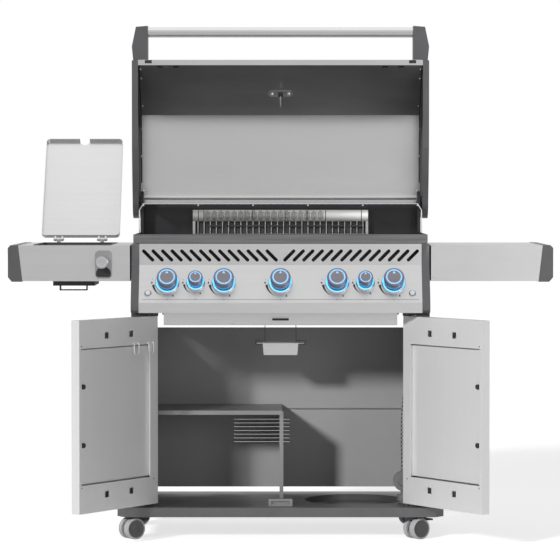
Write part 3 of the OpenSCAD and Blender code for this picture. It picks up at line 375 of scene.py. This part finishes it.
def fireboxEnamel(name, black, lipGrey):
    # black inside, plain steel where the lip stands in front of the wall
    lipDepth = 0.0615
    finish = Finish(name, black, roughness=0.42)
    lip = finish.part(finish.node("ShaderNodeTexCoord", out="Object"), "Y") < frontY + lipDepth
    peel = finish.noise(finish.coords(), 500, 3, 0.5)
    streak = finish.noise(finish.coords((1.5, 60, 60)), 2, 2, 0.5)
    dark = finish.shades(finish.spread(peel, 0, 1), scaled(black, 0.8), scaled(black, 1.3))
    light = finish.shades(finish.spread(streak, 0, 1), scaled(lipGrey, 0.8), scaled(lipGrey, 1.2))
    finish.drive("Base Color", finish.mix(lip, dark, light))
    finish.drive("Metallic", lip * 0.9)
    finish.bump(peel, 0.2, 0.0003)
    return finish.material


def litRing(name, colour, strength):
    # frosted light guide
    finish = Finish(name, colour, roughness=0.3, Emission_Strength=strength)
    mottle = finish.noise(finish.coords(), 260, 2, 0.5)
    glow = finish.shades(finish.spread(mottle, 0, 1), scaled(colour, 0.86), scaled(colour, 1.1))
    finish.drive("Base Color", glow)
    finish.drive("Emission Color", glow)
    return finish.material


def braidedHose(name):
    # crossing strands that follow the hose, from its own map
    finish = Finish(name, (0.55, 0.56, 0.58), metallic=1.0, roughness=0.35)
    uv = finish.node("ShaderNodeTexCoord", out="UV")
    around, down = finish.part(uv, "X"), finish.part(uv, "Y")
    strands = 2 * pi * 3
    left = (around * strands + down * strands).wave()
    right = (around * strands - down * strands).wave()
    weave = left.larger(right)
    finish.drive("Base Color", finish.shades(finish.spread(weave * 0.5 + 0.3, 0, 1),
                                             (0.16, 0.17, 0.18), (0.72, 0.73, 0.75)))
    finish.bump(weave, 0.7, 0.0012)
    return finish.material


print("materials")
finishes = {made.name: made for made in (
    brushedMetal("panelSteel", (0.66, 0.66, 0.665), 0.34, contrast=0.05),
    brushedMetal("shelfSteel", (0.66, 0.66, 0.665), 0.33, contrast=0.04),
    lidSheet("lidSteel", (0.66, 0.66, 0.66), 0.24),
    brushedMetal("coverSteel", (0.62, 0.62, 0.625), 0.30, contrast=0.04),
    brushedMetal("doorSteel", (0.80, 0.80, 0.802), 0.50, along=2, contrast=0.02, metallic=0.45),
    brushedMetal("traySteel", (0.68, 0.68, 0.685), 0.3),
    brushedMetal("burnerSteel", (0.50, 0.50, 0.49), 0.35, contrast=0.12),
    brushedMetal("handleSteel", (0.62, 0.62, 0.63), 0.17, depth=0.01, contrast=0.03, smudge=0.03),
    brushedMetal("chrome", (0.70, 0.71, 0.74), 0.10, along=2, depth=0.004, contrast=0.03,
                 smudge=0.02),
    brushedMetal("bezelMetal", (0.40, 0.40, 0.42), 0.24, along=2, depth=0.01, contrast=0.05),
    brushedMetal("knobMetal", (0.20, 0.22, 0.29), 0.28, depth=0.01, contrast=0.08),
    brushedMetal("knobFace", (0.26, 0.245, 0.27), 0.42, contrast=0.12),
    powderCoat("charcoal", (0.13, 0.131, 0.135), 0.36, metallic=0.7),
    powderCoat("capGrey", (0.12, 0.12, 0.122), 0.38, metallic=0.6),
    powderCoat("baseGrey", (0.15, 0.151, 0.154), 0.36, metallic=0.7),
    fireboxEnamel("fireboxBlack", (0.020, 0.020, 0.022), (0.20, 0.20, 0.20)),
    powderCoat("darkSheet", (0.05, 0.051, 0.053), 0.5),
    powderCoat("backSheet", (0.30, 0.30, 0.305), 0.5, contrast=0.05),
    powderCoat("greySheet", (0.30, 0.30, 0.305), 0.42, metallic=0.6),
    castIron("gridIron", (0.028, 0.027, 0.027)),
    moulded("blackPlastic", (0.018, 0.018, 0.019), 0.42),
    moulded("rubber", (0.025, 0.025, 0.026), 0.7, 300, 0.2),
    braidedHose("hoseBraid"),
    powderCoat("regulatorGrey", (0.24, 0.245, 0.25), 0.45, metallic=0.5),
    litRing("blueGlow", (0.10, 0.50, 1.0), 1.5),
    litRing("paleGlow", (0.28, 0.52, 0.80), 0.35),
    brushedMetal("rearSteel", (0.78, 0.78, 0.76), 0.38, contrast=0.06),
    moulded("dialWhite", (0.75, 0.75, 0.73), 0.35, 200, 0.03),
    moulded("treadGrey", (0.42, 0.42, 0.43), 0.55, 300, 0.2),
    moulded("discGrey", (0.07, 0.07, 0.073), 0.45, 300, 0.1),
    moulded("ink", (0.02, 0.02, 0.022), 0.6),
)}

nodeFinish = {
    "base_pan": "baseGrey", "side_panels": "baseGrey", "back_panel": "backSheet",
    "cabinet_shelf": "greySheet", "divider": "greySheet", "door_catch": "greySheet",
    "door_hinges": "darkSheet", "firebox": "fireboxBlack", "main_burners": "burnerSteel",
    "sear_plates": "burnerSteel", "cooking_grids": "gridIron", "warming_rack": "chrome",
    "rear_burner": "burnerSteel", "gas_manifold": "greySheet", "control_panel": "panelSteel",
    "panel_end_caps": "charcoal", "knob_bezels": "chrome", "side_knob": "knobMetal",
    "ignition_button": "chrome", "light_button": "chrome", "left_shelf": "shelfSteel",
    "right_shelf": "shelfSteel", "shelf_end_caps": "capGrey", "shelf_bolts": "shelfSteel",
    "side_burner_bowl": "darkSheet", "side_burner_head": "burnerSteel",
    "side_burner_grid": "gridIron", "side_burner_bracket": "blackPlastic",
    "side_burner_cover": "coverSteel", "drip_tray": "traySteel", "grease_cup_holder": "darkSheet",
    "grease_cup": "traySteel", "left_door": "doorSteel", "left_door_handle": "handleSteel",
    "right_door": "doorSteel", "right_door_handle": "handleSteel", "lid_shell": "lidSteel",
    "lid_ends": "charcoal", "lid_handle": "handleSteel", "lid_thermometer": "chrome",
    "lid_bumpers": "rubber", "gas_hose": "hoseBraid", "regulator": "regulatorGrey",
}
for name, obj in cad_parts.items():
    if name.endswith("_wheels"):
        chosen = "treadGrey"
    elif name.endswith(("_caster", "_brake")):
        chosen = "blackPlastic"
    else:
        chosen = nodeFinish.get(name, "knobMetal")
    obj.data.materials.clear()
    obj.data.materials.append(finishes[chosen])

# camera
print("camera")
camera = {"lens": 187.9, "away": 9.0, "height": 1.089, "side": -0.0015, "tilt": 1.803}
eye = bpy.data.cameras.new("camera")
eye.lens = camera["lens"]
eye.clip_end = 100
eyeObject = bpy.data.objects.new("camera", eye)
eyeObject.location = (camera["side"], frontY - camera["away"], camera["height"])
eyeObject.rotation_euler = (radians(90 - camera["tilt"]), 0, 0)
bpy.context.scene.collection.objects.link(eyeObject)
bpy.context.scene.camera = eyeObject

# gas hose
print("gas hose")
hose = {
    "diameter": 12, "sides": 16, "pitch": 38,
    "route": [(416, 54.5, 742), (416, 54.5, 725), (416, 54.5, 705), (416, 57, 685), (414, 63, 660),
              (411, 72, 635), (407, 83, 605), (402, 96, 570), (397, 108, 530), (392, 119, 485),
              (388, 128, 440), (385, 135, 395), (383, 141, 350), (383, 145, 305), (384, 148, 265),
              (385, 150, 235), (385, 150, 210)],
}
bm = bmesh.new()
rings = addTube(bm, hose["route"], hose["diameter"] / 2, hose["sides"])
length = 0
spots = {}
for i, ring in enumerate(rings):
    if i:
        length += (Vector(hose["route"][i]) - Vector(hose["route"][i - 1])).length
    for k, vert in enumerate(ring):
        spots[vert] = (k / hose["sides"], length / hose["pitch"])
uvMap = bm.loops.layers.uv.new("UVMap")
for face in bm.faces:
    corners = [spots[loop.vert] for loop in face.loops]
    wraps = max(c[0] for c in corners) - min(c[0] for c in corners) > 0.5 and len(corners) == 4
    for loop, (u, v) in zip(face.loops, corners):
        loop[uvMap].uv = (u + 1 if wraps and u < 0.5 else u, v)
hosePiece = finishPiece("gasHose", bm, finishes["hoseBraid"], "cart",
                        ("gas_hose",), smooth=60)

# knobs on the control panel
print("knobs")
panel = {"tilt": 27, "bend": 852, "frontY": 8, "knobZ": 798.5, "buttonZ": 766, "lineZ": 747.5,
         "lineHalf": 424, "dotSize": 1.6, "buttonX": (-407, 405),
         "knobX": (-348, -261, -174, 0, 174, 261, 348)}


def faceY(z):
    return panel["frontY"] - (panel["bend"] - z) * tan(radians(panel["tilt"]))


def onFace(x, z):
    return cart @ moved(x, faceY(z), z) @ turned(90 - panel["tilt"], "X")


knob = {"large": 31.5, "small": 23, "smallPlaces": (1, 5), "stand": 4.5, "height": 38,
        "ringOuter": 0.81, "ringInner": 0.655, "stem": 4, "stemDepth": 16, "pointer": 0.62}
sideKnob = {"radius": 21, "x": -549, "z": 861}


def knobRadius(i):
    return knob["small"] if i in knob["smallPlaces"] else knob["large"]


def knobBody(bm, radius, place):
    low, top = knob["stand"], knob["stand"] + knob["height"]
    rim = radius * knob["ringOuter"]
    addLathe(bm, [(knob["stem"], -knob["stemDepth"]), (knob["stem"], low), (radius * 0.86, low),
                  (radius * 0.9, low + 1), (radius * 0.93, low + 9), (radius * 0.965, low + 12),
                  (radius * 0.99, low + 20), (radius, top - 6), (radius * 0.985, top - 3),
                  (radius * 0.95, top - 1), (radius * 0.88, top), (rim, top + 0.2),
                  (rim - 0.6, top - 0.8), (0, top - 0.8)], place)


def knobRing(bm, radius, place):
    top = knob["stand"] + knob["height"]
    outer, inner = radius * knob["ringOuter"] - 0.4, radius * knob["ringInner"]
    addLathe(bm, [(outer, top - 1), (outer, top + 0.1), (outer - 0.8, top + 0.6),
                  (inner + 0.8, top + 0.6), (inner, top + 0.1), (inner, top - 1)], place)
    tip, wide, long = radius * knob["pointer"], radius * 0.16, radius * 0.26
    addOutline(bm, [(0, tip), (-wide, tip - long), (wide, tip - long)], (top - 0.6, top + 0.4),
               place)


def knobFace(bm, radius, place):
    top = knob["stand"] + knob["height"]
    edge = radius * knob["ringInner"]
    addLathe(bm, [(edge + 0.2, top - 1), (edge, top), (radius * 0.5, top - 0.1),
                  (radius * 0.2, top - 0.5), (0, top - 0.6)], place)


def makeKnob(name, body, radius, place, looks):
    builders = (("Body", knobBody), ("Ring", knobRing), ("Face", knobFace))
    for (label, build), look in zip(builders, looks):
        bm = bmesh.new()
        build(bm, radius, place)
        finishPiece(name + label, bm, finishes[look], body,
                    (body,) if label == "Body" else ())


for i, x in enumerate(panel["knobX"]):
    makeKnob("knob%d" % (i + 1), "knob_%d" % (i + 1), knobRadius(i), onFace(x, panel["knobZ"]),
             ("knobMetal", "paleGlow", "knobFace"))
makeKnob("sideKnob", "side_knob", sideKnob["radius"],
         cart @ moved(sideKnob["x"], 0, sideKnob["z"]) @ turned(90, "X"),
         ("bezelMetal", "chrome", "handleSteel"))

# bezels, their light guides and the button rings
bezel = {"wall": 6.5, "seat": 2, "floor": 3, "guide": 1.5, "steps": 64}
bezelBm, glowBm = bmesh.new(), bmesh.new()
for i, x in enumerate(panel["knobX"]):
    radius = knobRadius(i)
    place = onFace(x, panel["knobZ"])
    hole, rim, lit = radius - bezel["seat"], radius + bezel["wall"], radius - bezel["guide"]
    addLathe(bezelBm, [(hole, 0), (rim, 0), (rim, 1.5), (radius + 6, 4), (radius + 4.6, 6.2),
                       (radius + 3.4, 6.9), (radius + 3.2, bezel["floor"]), (hole, bezel["floor"]),
                       (hole, 0)], place, bezel["steps"])
    addLathe(glowBm, [(lit, 3.05), (radius + 3.2, 3.1), (radius + 3.3, 6.4), (radius + 2.4, 6.6),
                      (radius + 0.5, 4.2), (lit, 3.6), (lit, 3.05)], place, bezel["steps"])
for x in panel["buttonX"]:
    addLathe(bezelBm, [(9.7, 0), (12, 0), (12, 1.8), (11.3, 2.8), (10.2, 3), (9.7, 2.4), (9.7, 0)],
             onFace(x, panel["buttonZ"]))
finishPiece("knobBezels", bezelBm, finishes["chrome"], "cart", ("knob_bezels",))
finishPiece("knobLightGuides", glowBm, finishes["blueGlow"], "cart")

# printed marks: a swelling arc from low to high beside each knob
mark = {"clear": 16, "from": 190, "to": 248, "steps": 14, "swell": 0.17, "film": (0.05, 0.25),
        "flames": ((180, 3.2), (166, 1.2), (292, 3.2))}
bm = bmesh.new()
for i, x in enumerate(panel["knobX"]):
    radius = knobRadius(i) + mark["clear"]
    place = onFace(x, panel["knobZ"])
    outer = arcPoints((0, 0), radius, mark["from"], mark["to"], mark["steps"])
    inner = []
    for k, (px, py) in enumerate(outer):
        inward = 1 - mark["swell"] * (1 - k / mark["steps"])
        inner.append((px * inward, py * inward))
    addOutline(bm, outer + inner[::-1][1:], mark["film"], place)
    for angle, size in mark["flames"]:
        fx, fy = radius * cos(radians(angle)), radius * sin(radians(angle))
        addOutline(bm, [(fx - size, fy - size), (fx + size, fy - size), (fx + size * 0.6, fy),
                        (fx, fy + size * 1.3), (fx - size * 0.5, fy + 0.2 * size)], mark["film"],
                   place)
finishPiece("panelMarks", bm, finishes["ink"], "cart")
bm = bmesh.new()
lineFace = onFace(0, panel["lineZ"])
addBox(bm, (-panel["lineHalf"], -0.5, 0.02), (panel["lineHalf"], 0.5, 0.12), lineFace)
for x in panel["knobX"]:
    addRod(bm, (x, 0, 0.02), (x, 0, 0.2), panel["dotSize"], sides=12, place=lineFace)
finishPiece("panelLine", bm, finishes["darkSheet"], "cart")

# shield behind the side burner's knob
print("side burner")
shield = {"x": -545, "z": 811, "width": 52, "height": 85, "corner": 12, "thick": 6, "edge": 1.5,
          "windowZ": 12, "windowRadius": 24}
place = cart @ moved(shield["x"], 0, shield["z"]) @ turned(90, "X")
bm = bmesh.new()
addOutline(bm, roundedRect(shield["width"], shield["height"], shield["corner"],
                           centre=(0, shield["height"] / 2)), (0, shield["thick"]), place,
           edge=shield["edge"])
finishPiece("sideKnobShield", bm, finishes["greySheet"], "cart")
bm = bmesh.new()
arch = arcPoints((0, shield["windowZ"]), shield["windowRadius"], 20, 160, 14)
addOutline(bm, arch + [(-23, 8), (-17, 4), (17, 4), (23, 8)],
           (shield["thick"] - 0.4, shield["thick"] + 0.8), place)
finishPiece("sideKnobWindow", bm, finishes["ink"], "cart")

# lid: its sheet, with +y and +z as they are when the lid is shut
print("lid")
lid = {"pivot": (470, 1048), "half": 456, "foot": (36, 949), "slope": 48, "fold": (191.8, 1122),
       "screwX": 449, "screwRun": (20, 62, 190), "slotX": (-386, -335, 335, 386),
       "back": (412, 1150)}
lidPlace = (cart @ moved(0, lid["pivot"][0], lid["pivot"][1]) @ turned(-90, "X")
            @ moved(0, -lid["pivot"][0], -lid["pivot"][1]))


def onSlope(x, run):
    # on the lid's sloping front, +z outwards
    slope = radians(lid["slope"])
    y, z = lid["foot"][0] + run * cos(slope), lid["foot"][1] + run * sin(slope)
    return lidPlace @ moved(x, y, z) @ turned(lid["slope"], "X")


def offsetLine(points, distance):
    # the line through the points, set off to its left
    last = len(points) - 1
    shifted = []
    for i, point in enumerate(points):
        start, end = max(i, 1), min(i + 1, last)
        before = Vector(points[start]) - Vector(points[start - 1])
        after = Vector(points[end]) - Vector(points[end - 1])
        normals = [Vector((-run.y, run.x)).normalized() for run in (before, after)]
        shift = (normals[0] + normals[1]) * distance / (1 + normals[0].dot(normals[1]))
        shifted.append((point[0] + shift.x, point[1] + shift.y))
    return shifted


sheet = {"thick": 2, "corner": (452, 1134), "cornerRadius": 16, "seal": (468, 1080),
         "sealWidth": 17, "lip": 17, "smooth": 20,
         "curve": [(36, 949), (191.8, 1122), (212, 1129.2), (235.8, 1134.6), (255, 1138),
                   (275.8, 1140.8), (300, 1143.4), (325.8, 1145.6), (355, 1147.6), (385, 1149),
                   (412, 1150), (436, 1150)]}
inside = (sheet["curve"] + arcPoints(sheet["corner"], sheet["cornerRadius"], 90, 0, 8)
          + [sheet["seal"]])
outside = offsetLine(inside, sheet["thick"])
(footY, footZ), (sealY, sealZ) = sheet["curve"][0], sheet["seal"]
footTop, sealTop = footZ + sheet["thick"], sealZ + sheet["thick"]
outline = ([(footY - sheet["lip"], footZ)] + inside
           + [(sealY + sheet["sealWidth"], sealZ), (sealY + sheet["sealWidth"], sealTop),
              (sealY + sheet["thick"], sealTop)]
           + outside[-2:0:-1]
           + [(footY - 0.4, footTop), (footY - sheet["lip"], footTop)])
sideways = Matrix(((0, 0, 1, 0), (1, 0, 0, 0), (0, 1, 0, 0), (0, 0, 0, 1)))
bm = bmesh.new()
addOutline(bm, outline, (-lid["half"], lid["half"]), lidPlace @ sideways)
finishPiece("lidSheet", bm, finishes["lidSteel"], "lid", ("lid_shell",),
            sheet["smooth"])

# thermometer: bezel outside, its bracket, nuts and probe inside
thermometer = {"run": 130, "glass": 33.8, "studX": (-27, 27), "probe": 60, "probeRadius": 3,
               "bracket": (80, 28, 13), "first": 225, "step": 11.25, "marks": 25, "needle": 205}
dial = onSlope(0, thermometer["run"])
bm = bmesh.new()
addLathe(bm, [(0, 2), (42, 2), (41.6, 4), (38.8, 15), (38, 15.8), (36.5, 16), (35, 15.4),
              (34.2, 13), (thermometer["glass"], 12.2), (0, 12.2)], dial, 64)
for x in thermometer["studX"]:
    addLathe(bm, [(0, -9.8), (2.4, -9.6), (4.6, -8.8), (6, -7), (6.2, -3)],
             dial @ moved(x, 0, 0), 24)
addRod(bm, (0, 0, -10), (0, 0, -thermometer["probe"]), thermometer["probeRadius"], place=dial)
finishPiece("thermometerBezel", bm, finishes["chrome"], "lid",
            ("lid_thermometer",))
bm = bmesh.new()
addOutline(bm, roundedRect(*thermometer["bracket"]), (-3, -0.05), dial, edge=0.8)
finishPiece("thermometerBracket", bm, finishes["burnerSteel"], "lid")
bm = bmesh.new()
addLathe(bm, [(0, -14), (5, -14), (8, -12), (8, -2.9)], dial, 32)
for step in range(thermometer["marks"]):
    reach = 27 if step % 4 else 24
    addBox(bm, (reach, -0.5, 12.2), (31, 0.5, 12.5),
           dial @ turned(thermometer["first"] - step * thermometer["step"], "Z"))
addOutline(bm, [(-7, -1.6), (25, -0.4), (25, 0.4), (-7, 1.6)], (12.8, 13.4),
           dial @ turned(thermometer["needle"], "Z"))
addRod(bm, (0, 0, 12), (0, 0, 14), 2.6, place=dial)
finishPiece("thermometerMarks", bm, finishes["ink"], "lid")
bm = bmesh.new()
addLathe(bm, [(0, 12.25), (33.4, 12.3), (33.6, 12.2), (0, 12.15)], dial, 64)
finishPiece("thermometerDial", bm, finishes["dialWhite"], "lid")

# screws through the lid's sheet and the dark joint along each casting
bm = bmesh.new()
screwSpots = [onSlope(side * lid["screwX"], run) for side in (-1, 1) for run in lid["screwRun"]]
screwSpots += [lidPlace @ moved(side * lid["screwX"], 438, 1148.6) for side in (-1, 1)]
for spot in screwSpots:
    addLathe(bm, [(0, -2.2), (2, -2), (3.4, -1.1), (3.8, 0.2)], spot, 20)
finishPiece("lidScrews", bm, finishes["chrome"], "lid")
bm = bmesh.new()
for x in lid["slotX"]:
    addBox(bm, (x - 9, 3, -0.25), (x + 9, 11, 0.05), onSlope(0, 0))
corners = [lid["foot"], lid["fold"], (235.8, 1135), (275.8, 1141), (325.8, 1146), lid["back"]]
for (ya, za), (yb, zb) in zip(corners, corners[1:]):
    angle = atan2(zb - za, yb - ya)
    segment = lidPlace @ moved(0, ya, za) @ Matrix.Rotation(angle, 4, "X")
    for side in (-1, 1):
        edgeX = sorted((side * (lid["half"] - 4), side * (lid["half"] - 0.3)))
        addBox(bm, (edgeX[0], 0, -0.35), (edgeX[1], hypot(yb - ya, zb - za), 0.05), segment)
finishPiece("lidJoints", bm, finishes["ink"], "lid")

# rear burner: perforated strip above, rods over a dark recess below
print("rear burner")
rear = {"half": 284, "front": 468, "back": 496, "low": 940, "middle": 982, "high": 1018,
        "recess": 14, "postWidth": 8, "toothPitch": 21.5, "teeth": 18, "firstTooth": -236,
        "columns": 6, "columnPitch": 3.2, "rowPitch": 4.0, "holeSize": 1.5, "rods": 28,
        "rodPitch": 19.8, "rodSize": 1.7, "seams": (-266, -248, -115, -91, 15, 86, 146, 262),
        "bars": (-212, -147, -84, -19, 45, 112, 180, 243), "barHalf": 24, "barZ": (963, 968.5)}
half, front, back = rear["half"], rear["front"], rear["back"]
low, middle, high = rear["low"], rear["middle"], rear["high"]
bm = bmesh.new()
addBox(bm, (-half, front, middle), (half, back, high), edge=1)
addBox(bm, (-half, front + rear["recess"], low), (half, back, middle))
for x in (-half, half - rear["postWidth"]):
    addBox(bm, (x, front, low), (x + rear["postWidth"], front + rear["recess"] + 1, middle))
finishPiece("rearBurnerHousing", bm, finishes["rearSteel"], "cart",
            ("rear_burner",))
bm = bmesh.new()
for tooth in range(rear["teeth"]):
    for column in range(rear["columns"]):
        aside = column - (rear["columns"] - 1) / 2
        rows = int(8 - 2 * abs(aside) // 1.5)
        for row in range(rows):
            x = rear["firstTooth"] + tooth * rear["toothPitch"] + aside * rear["columnPitch"]
            z = (middle + high) / 2 + (row - (rows - 1) / 2) * rear["rowPitch"] + 0.8 * (column % 2)
            addRod(bm, (x, front - 0.3, z), (x, front + 0.1, z), rear["holeSize"], sides=6)
finishPiece("rearBurnerHoles", bm, finishes["ink"], "cart")
bm = bmesh.new()
for x in rear["seams"]:
    addBox(bm, (x - 1.2, front - 0.25, middle + 1), (x + 1.2, front + 0.1, high - 1))
addBox(bm, (-half + rear["postWidth"], front + rear["recess"] - 0.6, low + 1),
       (half - rear["postWidth"], front + rear["recess"] + 0.2, middle - 1))
for x in rear["bars"]:
    addBox(bm, (x - rear["barHalf"], front + 1, rear["barZ"][0]),
           (x + rear["barHalf"], front + 5, rear["barZ"][1]), edge=1.2)
finishPiece("rearBurnerRecess", bm, finishes["darkSheet"], "cart")
bm = bmesh.new()
for step in range(rear["rods"]):
    x = (step - (rear["rods"] - 1) / 2) * rear["rodPitch"]
    addRod(bm, (x, front + 7, low), (x, front + 7, middle + 1), rear["rodSize"], sides=12)
finishPiece("rearBurnerRods", bm, finishes["rearSteel"], "cart")

# castings and pressed parts with rounded edges
softened = {"lid_ends": ("lidEnds", "lid", "charcoal", "charcoal_casting", 1.6),
            "panel_end_caps": ("panelEndCaps", "cart", "charcoal", "charcoal_casting", 1.6),
            "shelf_end_caps": ("shelfEndCaps", "cart", "capGrey", "charcoal_casting", 2.0),
            "base_pan": ("basePan", "cart", "baseGrey", "grey_sheet", 1.0)}
for node, (name, body, look, slot, edge) in softened.items():
    softenedCopy(node, name, finishes[look], body, edge)

# drip tray: the shadowed mouth of its finger catch
print("doors, tray and casters")
catch = {"width": 52, "height": 7, "corner": 2.5, "y": 60.8, "z": 681.5}
bm = bmesh.new()
addOutline(bm, roundedRect(catch["width"], catch["height"], catch["corner"]), (-0.3, 0.3),
           cart @ moved(0, catch["y"], catch["z"]) @ turned(90, "X"))
finishPiece("trayCatchMouth", bm, finishes["ink"], "drip_tray")

# doors: rubber plugs over the handles' bolts, and rivets in the plates
door = {"pinX": -392, "pinY": 41, "open": 124, "inner": 10.4, "panel": 2.4, "plugX": 363,
        "plugZ": (317.5, 493.5), "rivets": ((377, 190), (377, 615), (16, 190))}
leftHung = cart @ moved(door["pinX"], door["pinY"], 0) @ turned(-door["open"], "Z")
doorPlaces = {"left_door": leftHung, "right_door": Matrix.Scale(-1, 4, (1, 0, 0)) @ leftHung}
for body, place in doorPlaces.items():
    label = body.split("_")[0] + "Door"
    bm = bmesh.new()
    for z in door["plugZ"]:
        addLathe(bm, [(7.7, 0), (7.6, 6.4), (6.6, 7.5), (4, 7.9), (0, 8)],
                 place @ moved(door["plugX"], door["panel"], z) @ turned(-90, "X"), 28)
    finishPiece(label + "Plugs", bm, finishes["rubber"], body)
    bm = bmesh.new()
    for x, z in door["rivets"]:
        addLathe(bm, [(2.2, -0.1), (1.8, 0.7), (0, 1.1)],
                 place @ moved(x, door["inner"], z) @ turned(-90, "X"), 16)
    finishPiece(label + "Rivets", bm, finishes["darkSheet"], body)

# casters: dark discs on both wheels' faces
caster = {"turn": 34, "face": 26.8, "disc": 27.5}
face, disc = caster["face"], caster["disc"]
for node in [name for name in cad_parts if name.endswith("_wheels")]:
    low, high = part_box(node)
    hub = Matrix.Translation((low + high) / 2) @ turned(caster["turn"], "Z")
    bm = bmesh.new()
    for side in (-1, 1):
        addLathe(bm, [(disc, face - 0.6), (disc - 0.5, face + 0.2), (disc - 2, face + 0.2),
                      (disc - 2.6, face), (7, face), (6.4, face + 0.2), (5, face + 0.2),
                      (4.4, face - 0.1), (3, face - 0.1), (2.6, face + 0.3), (0, face + 0.3)],
                 hub @ turned(side * 90, "X"))
    finishPiece(node + "Discs", bm, finishes["discGrey"], node)

# lights, world and floor
print("lights, world and floor")
sun = {"towards": (-0.647, -1.0, 0.46), "strength": 2.9, "softness": 6}
lamp = bpy.data.lights.new("key", "SUN")
lamp.energy = sun["strength"]
lamp.angle = radians(sun["softness"])
lampObject = bpy.data.objects.new("key", lamp)
lampObject.rotation_euler = (-Vector(sun["towards"])).to_track_quat("-Z", "Y").to_euler()
lampObject.visible_glossy = False                        # the key shades dull faces only
bpy.context.scene.collection.objects.link(lampObject)
softboxes = {"top": ((0.0, 0.2, 4.2), 2.6, 9), "fill": ((3.2, -5.2, 1.4), 2.4, 45)}
aim = Vector((0, 0.1, 0.8))
for name, (spot, size, power) in softboxes.items():
    lamp = bpy.data.lights.new(name, "AREA")
    lamp.size = size
    lamp.energy = power
    lampObject = bpy.data.objects.new(name, lamp)
    lampObject.location = spot
    lampObject.rotation_euler = (aim - Vector(spot)).to_track_quat("-Z", "Y").to_euler()
    bpy.context.scene.collection.objects.link(lampObject)

# white seen straight, shaded from horizon to overhead in metal, dim for dull faces
sky = {"horizon": 0.68, "overhead": 0.95, "overheadFrom": 0.75, "dim": 0.10}
world = bpy.data.worlds.new("studio")
world.use_nodes = True
bpy.context.scene.world = world
world.node_tree.nodes.clear()
air = Nodes(world.node_tree)
white = (1, 1, 1, 1)
upward = air.node("ShaderNodeSeparateXYZ", {}, {
    0: air.node("ShaderNodeTexCoord", out="Generated")}, out=2)
shade = air.node("ShaderNodeValToRGB", {
    "stops": ((0, sky["horizon"]), (sky["overheadFrom"], sky["overhead"]))}, {0: upward})
straightSky = air.node("ShaderNodeBackground", {}, {"Color": white, "Strength": 1})
metalSky = air.node("ShaderNodeBackground", {}, {"Color": shade, "Strength": 1})
dullSky = air.node("ShaderNodeBackground", {}, {"Color": white, "Strength": sky["dim"]})
reflected = air.node("ShaderNodeMixShader", {}, {
    0: air.node("ShaderNodeLightPath", out="Is Glossy Ray"), 1: dullSky, 2: metalSky})
seen = air.node("ShaderNodeMixShader", {}, {
    0: air.node("ShaderNodeLightPath", out="Is Camera Ray"), 1: reflected, 2: straightSky})
air.node("ShaderNodeOutputWorld", {}, {"Surface": seen})

# floor: white to the eye, duller in metal, and little light thrown back up
glow = {"all": 0.08, "straight": 0.62, "mirrored": 0.24}
floorFinish = Finish("floor", (0.7, 0.7, 0.7), roughness=0.9, Emission_Strength=1)
straight = floorFinish.node("ShaderNodeLightPath", out="Is Camera Ray")
mirrored = floorFinish.node("ShaderNodeLightPath", out="Is Glossy Ray")
floorFinish.drive("Emission Color", glow["all"] + straight * glow["straight"]
                  + mirrored * glow["mirrored"])
bm = bmesh.new()
bmesh.ops.create_grid(bm, x_segments=2, y_segments=2, size=40)
mesh = bpy.data.meshes.new("floor")
bm.to_mesh(mesh)
bm.free()
mesh.materials.append(floorFinish.material)
floor = bpy.data.objects.new("floor", mesh)
bpy.context.scene.collection.objects.link(floor)

bpy.context.scene.view_settings.view_transform = "Standard"
bpy.context.scene.view_settings.look = "None"
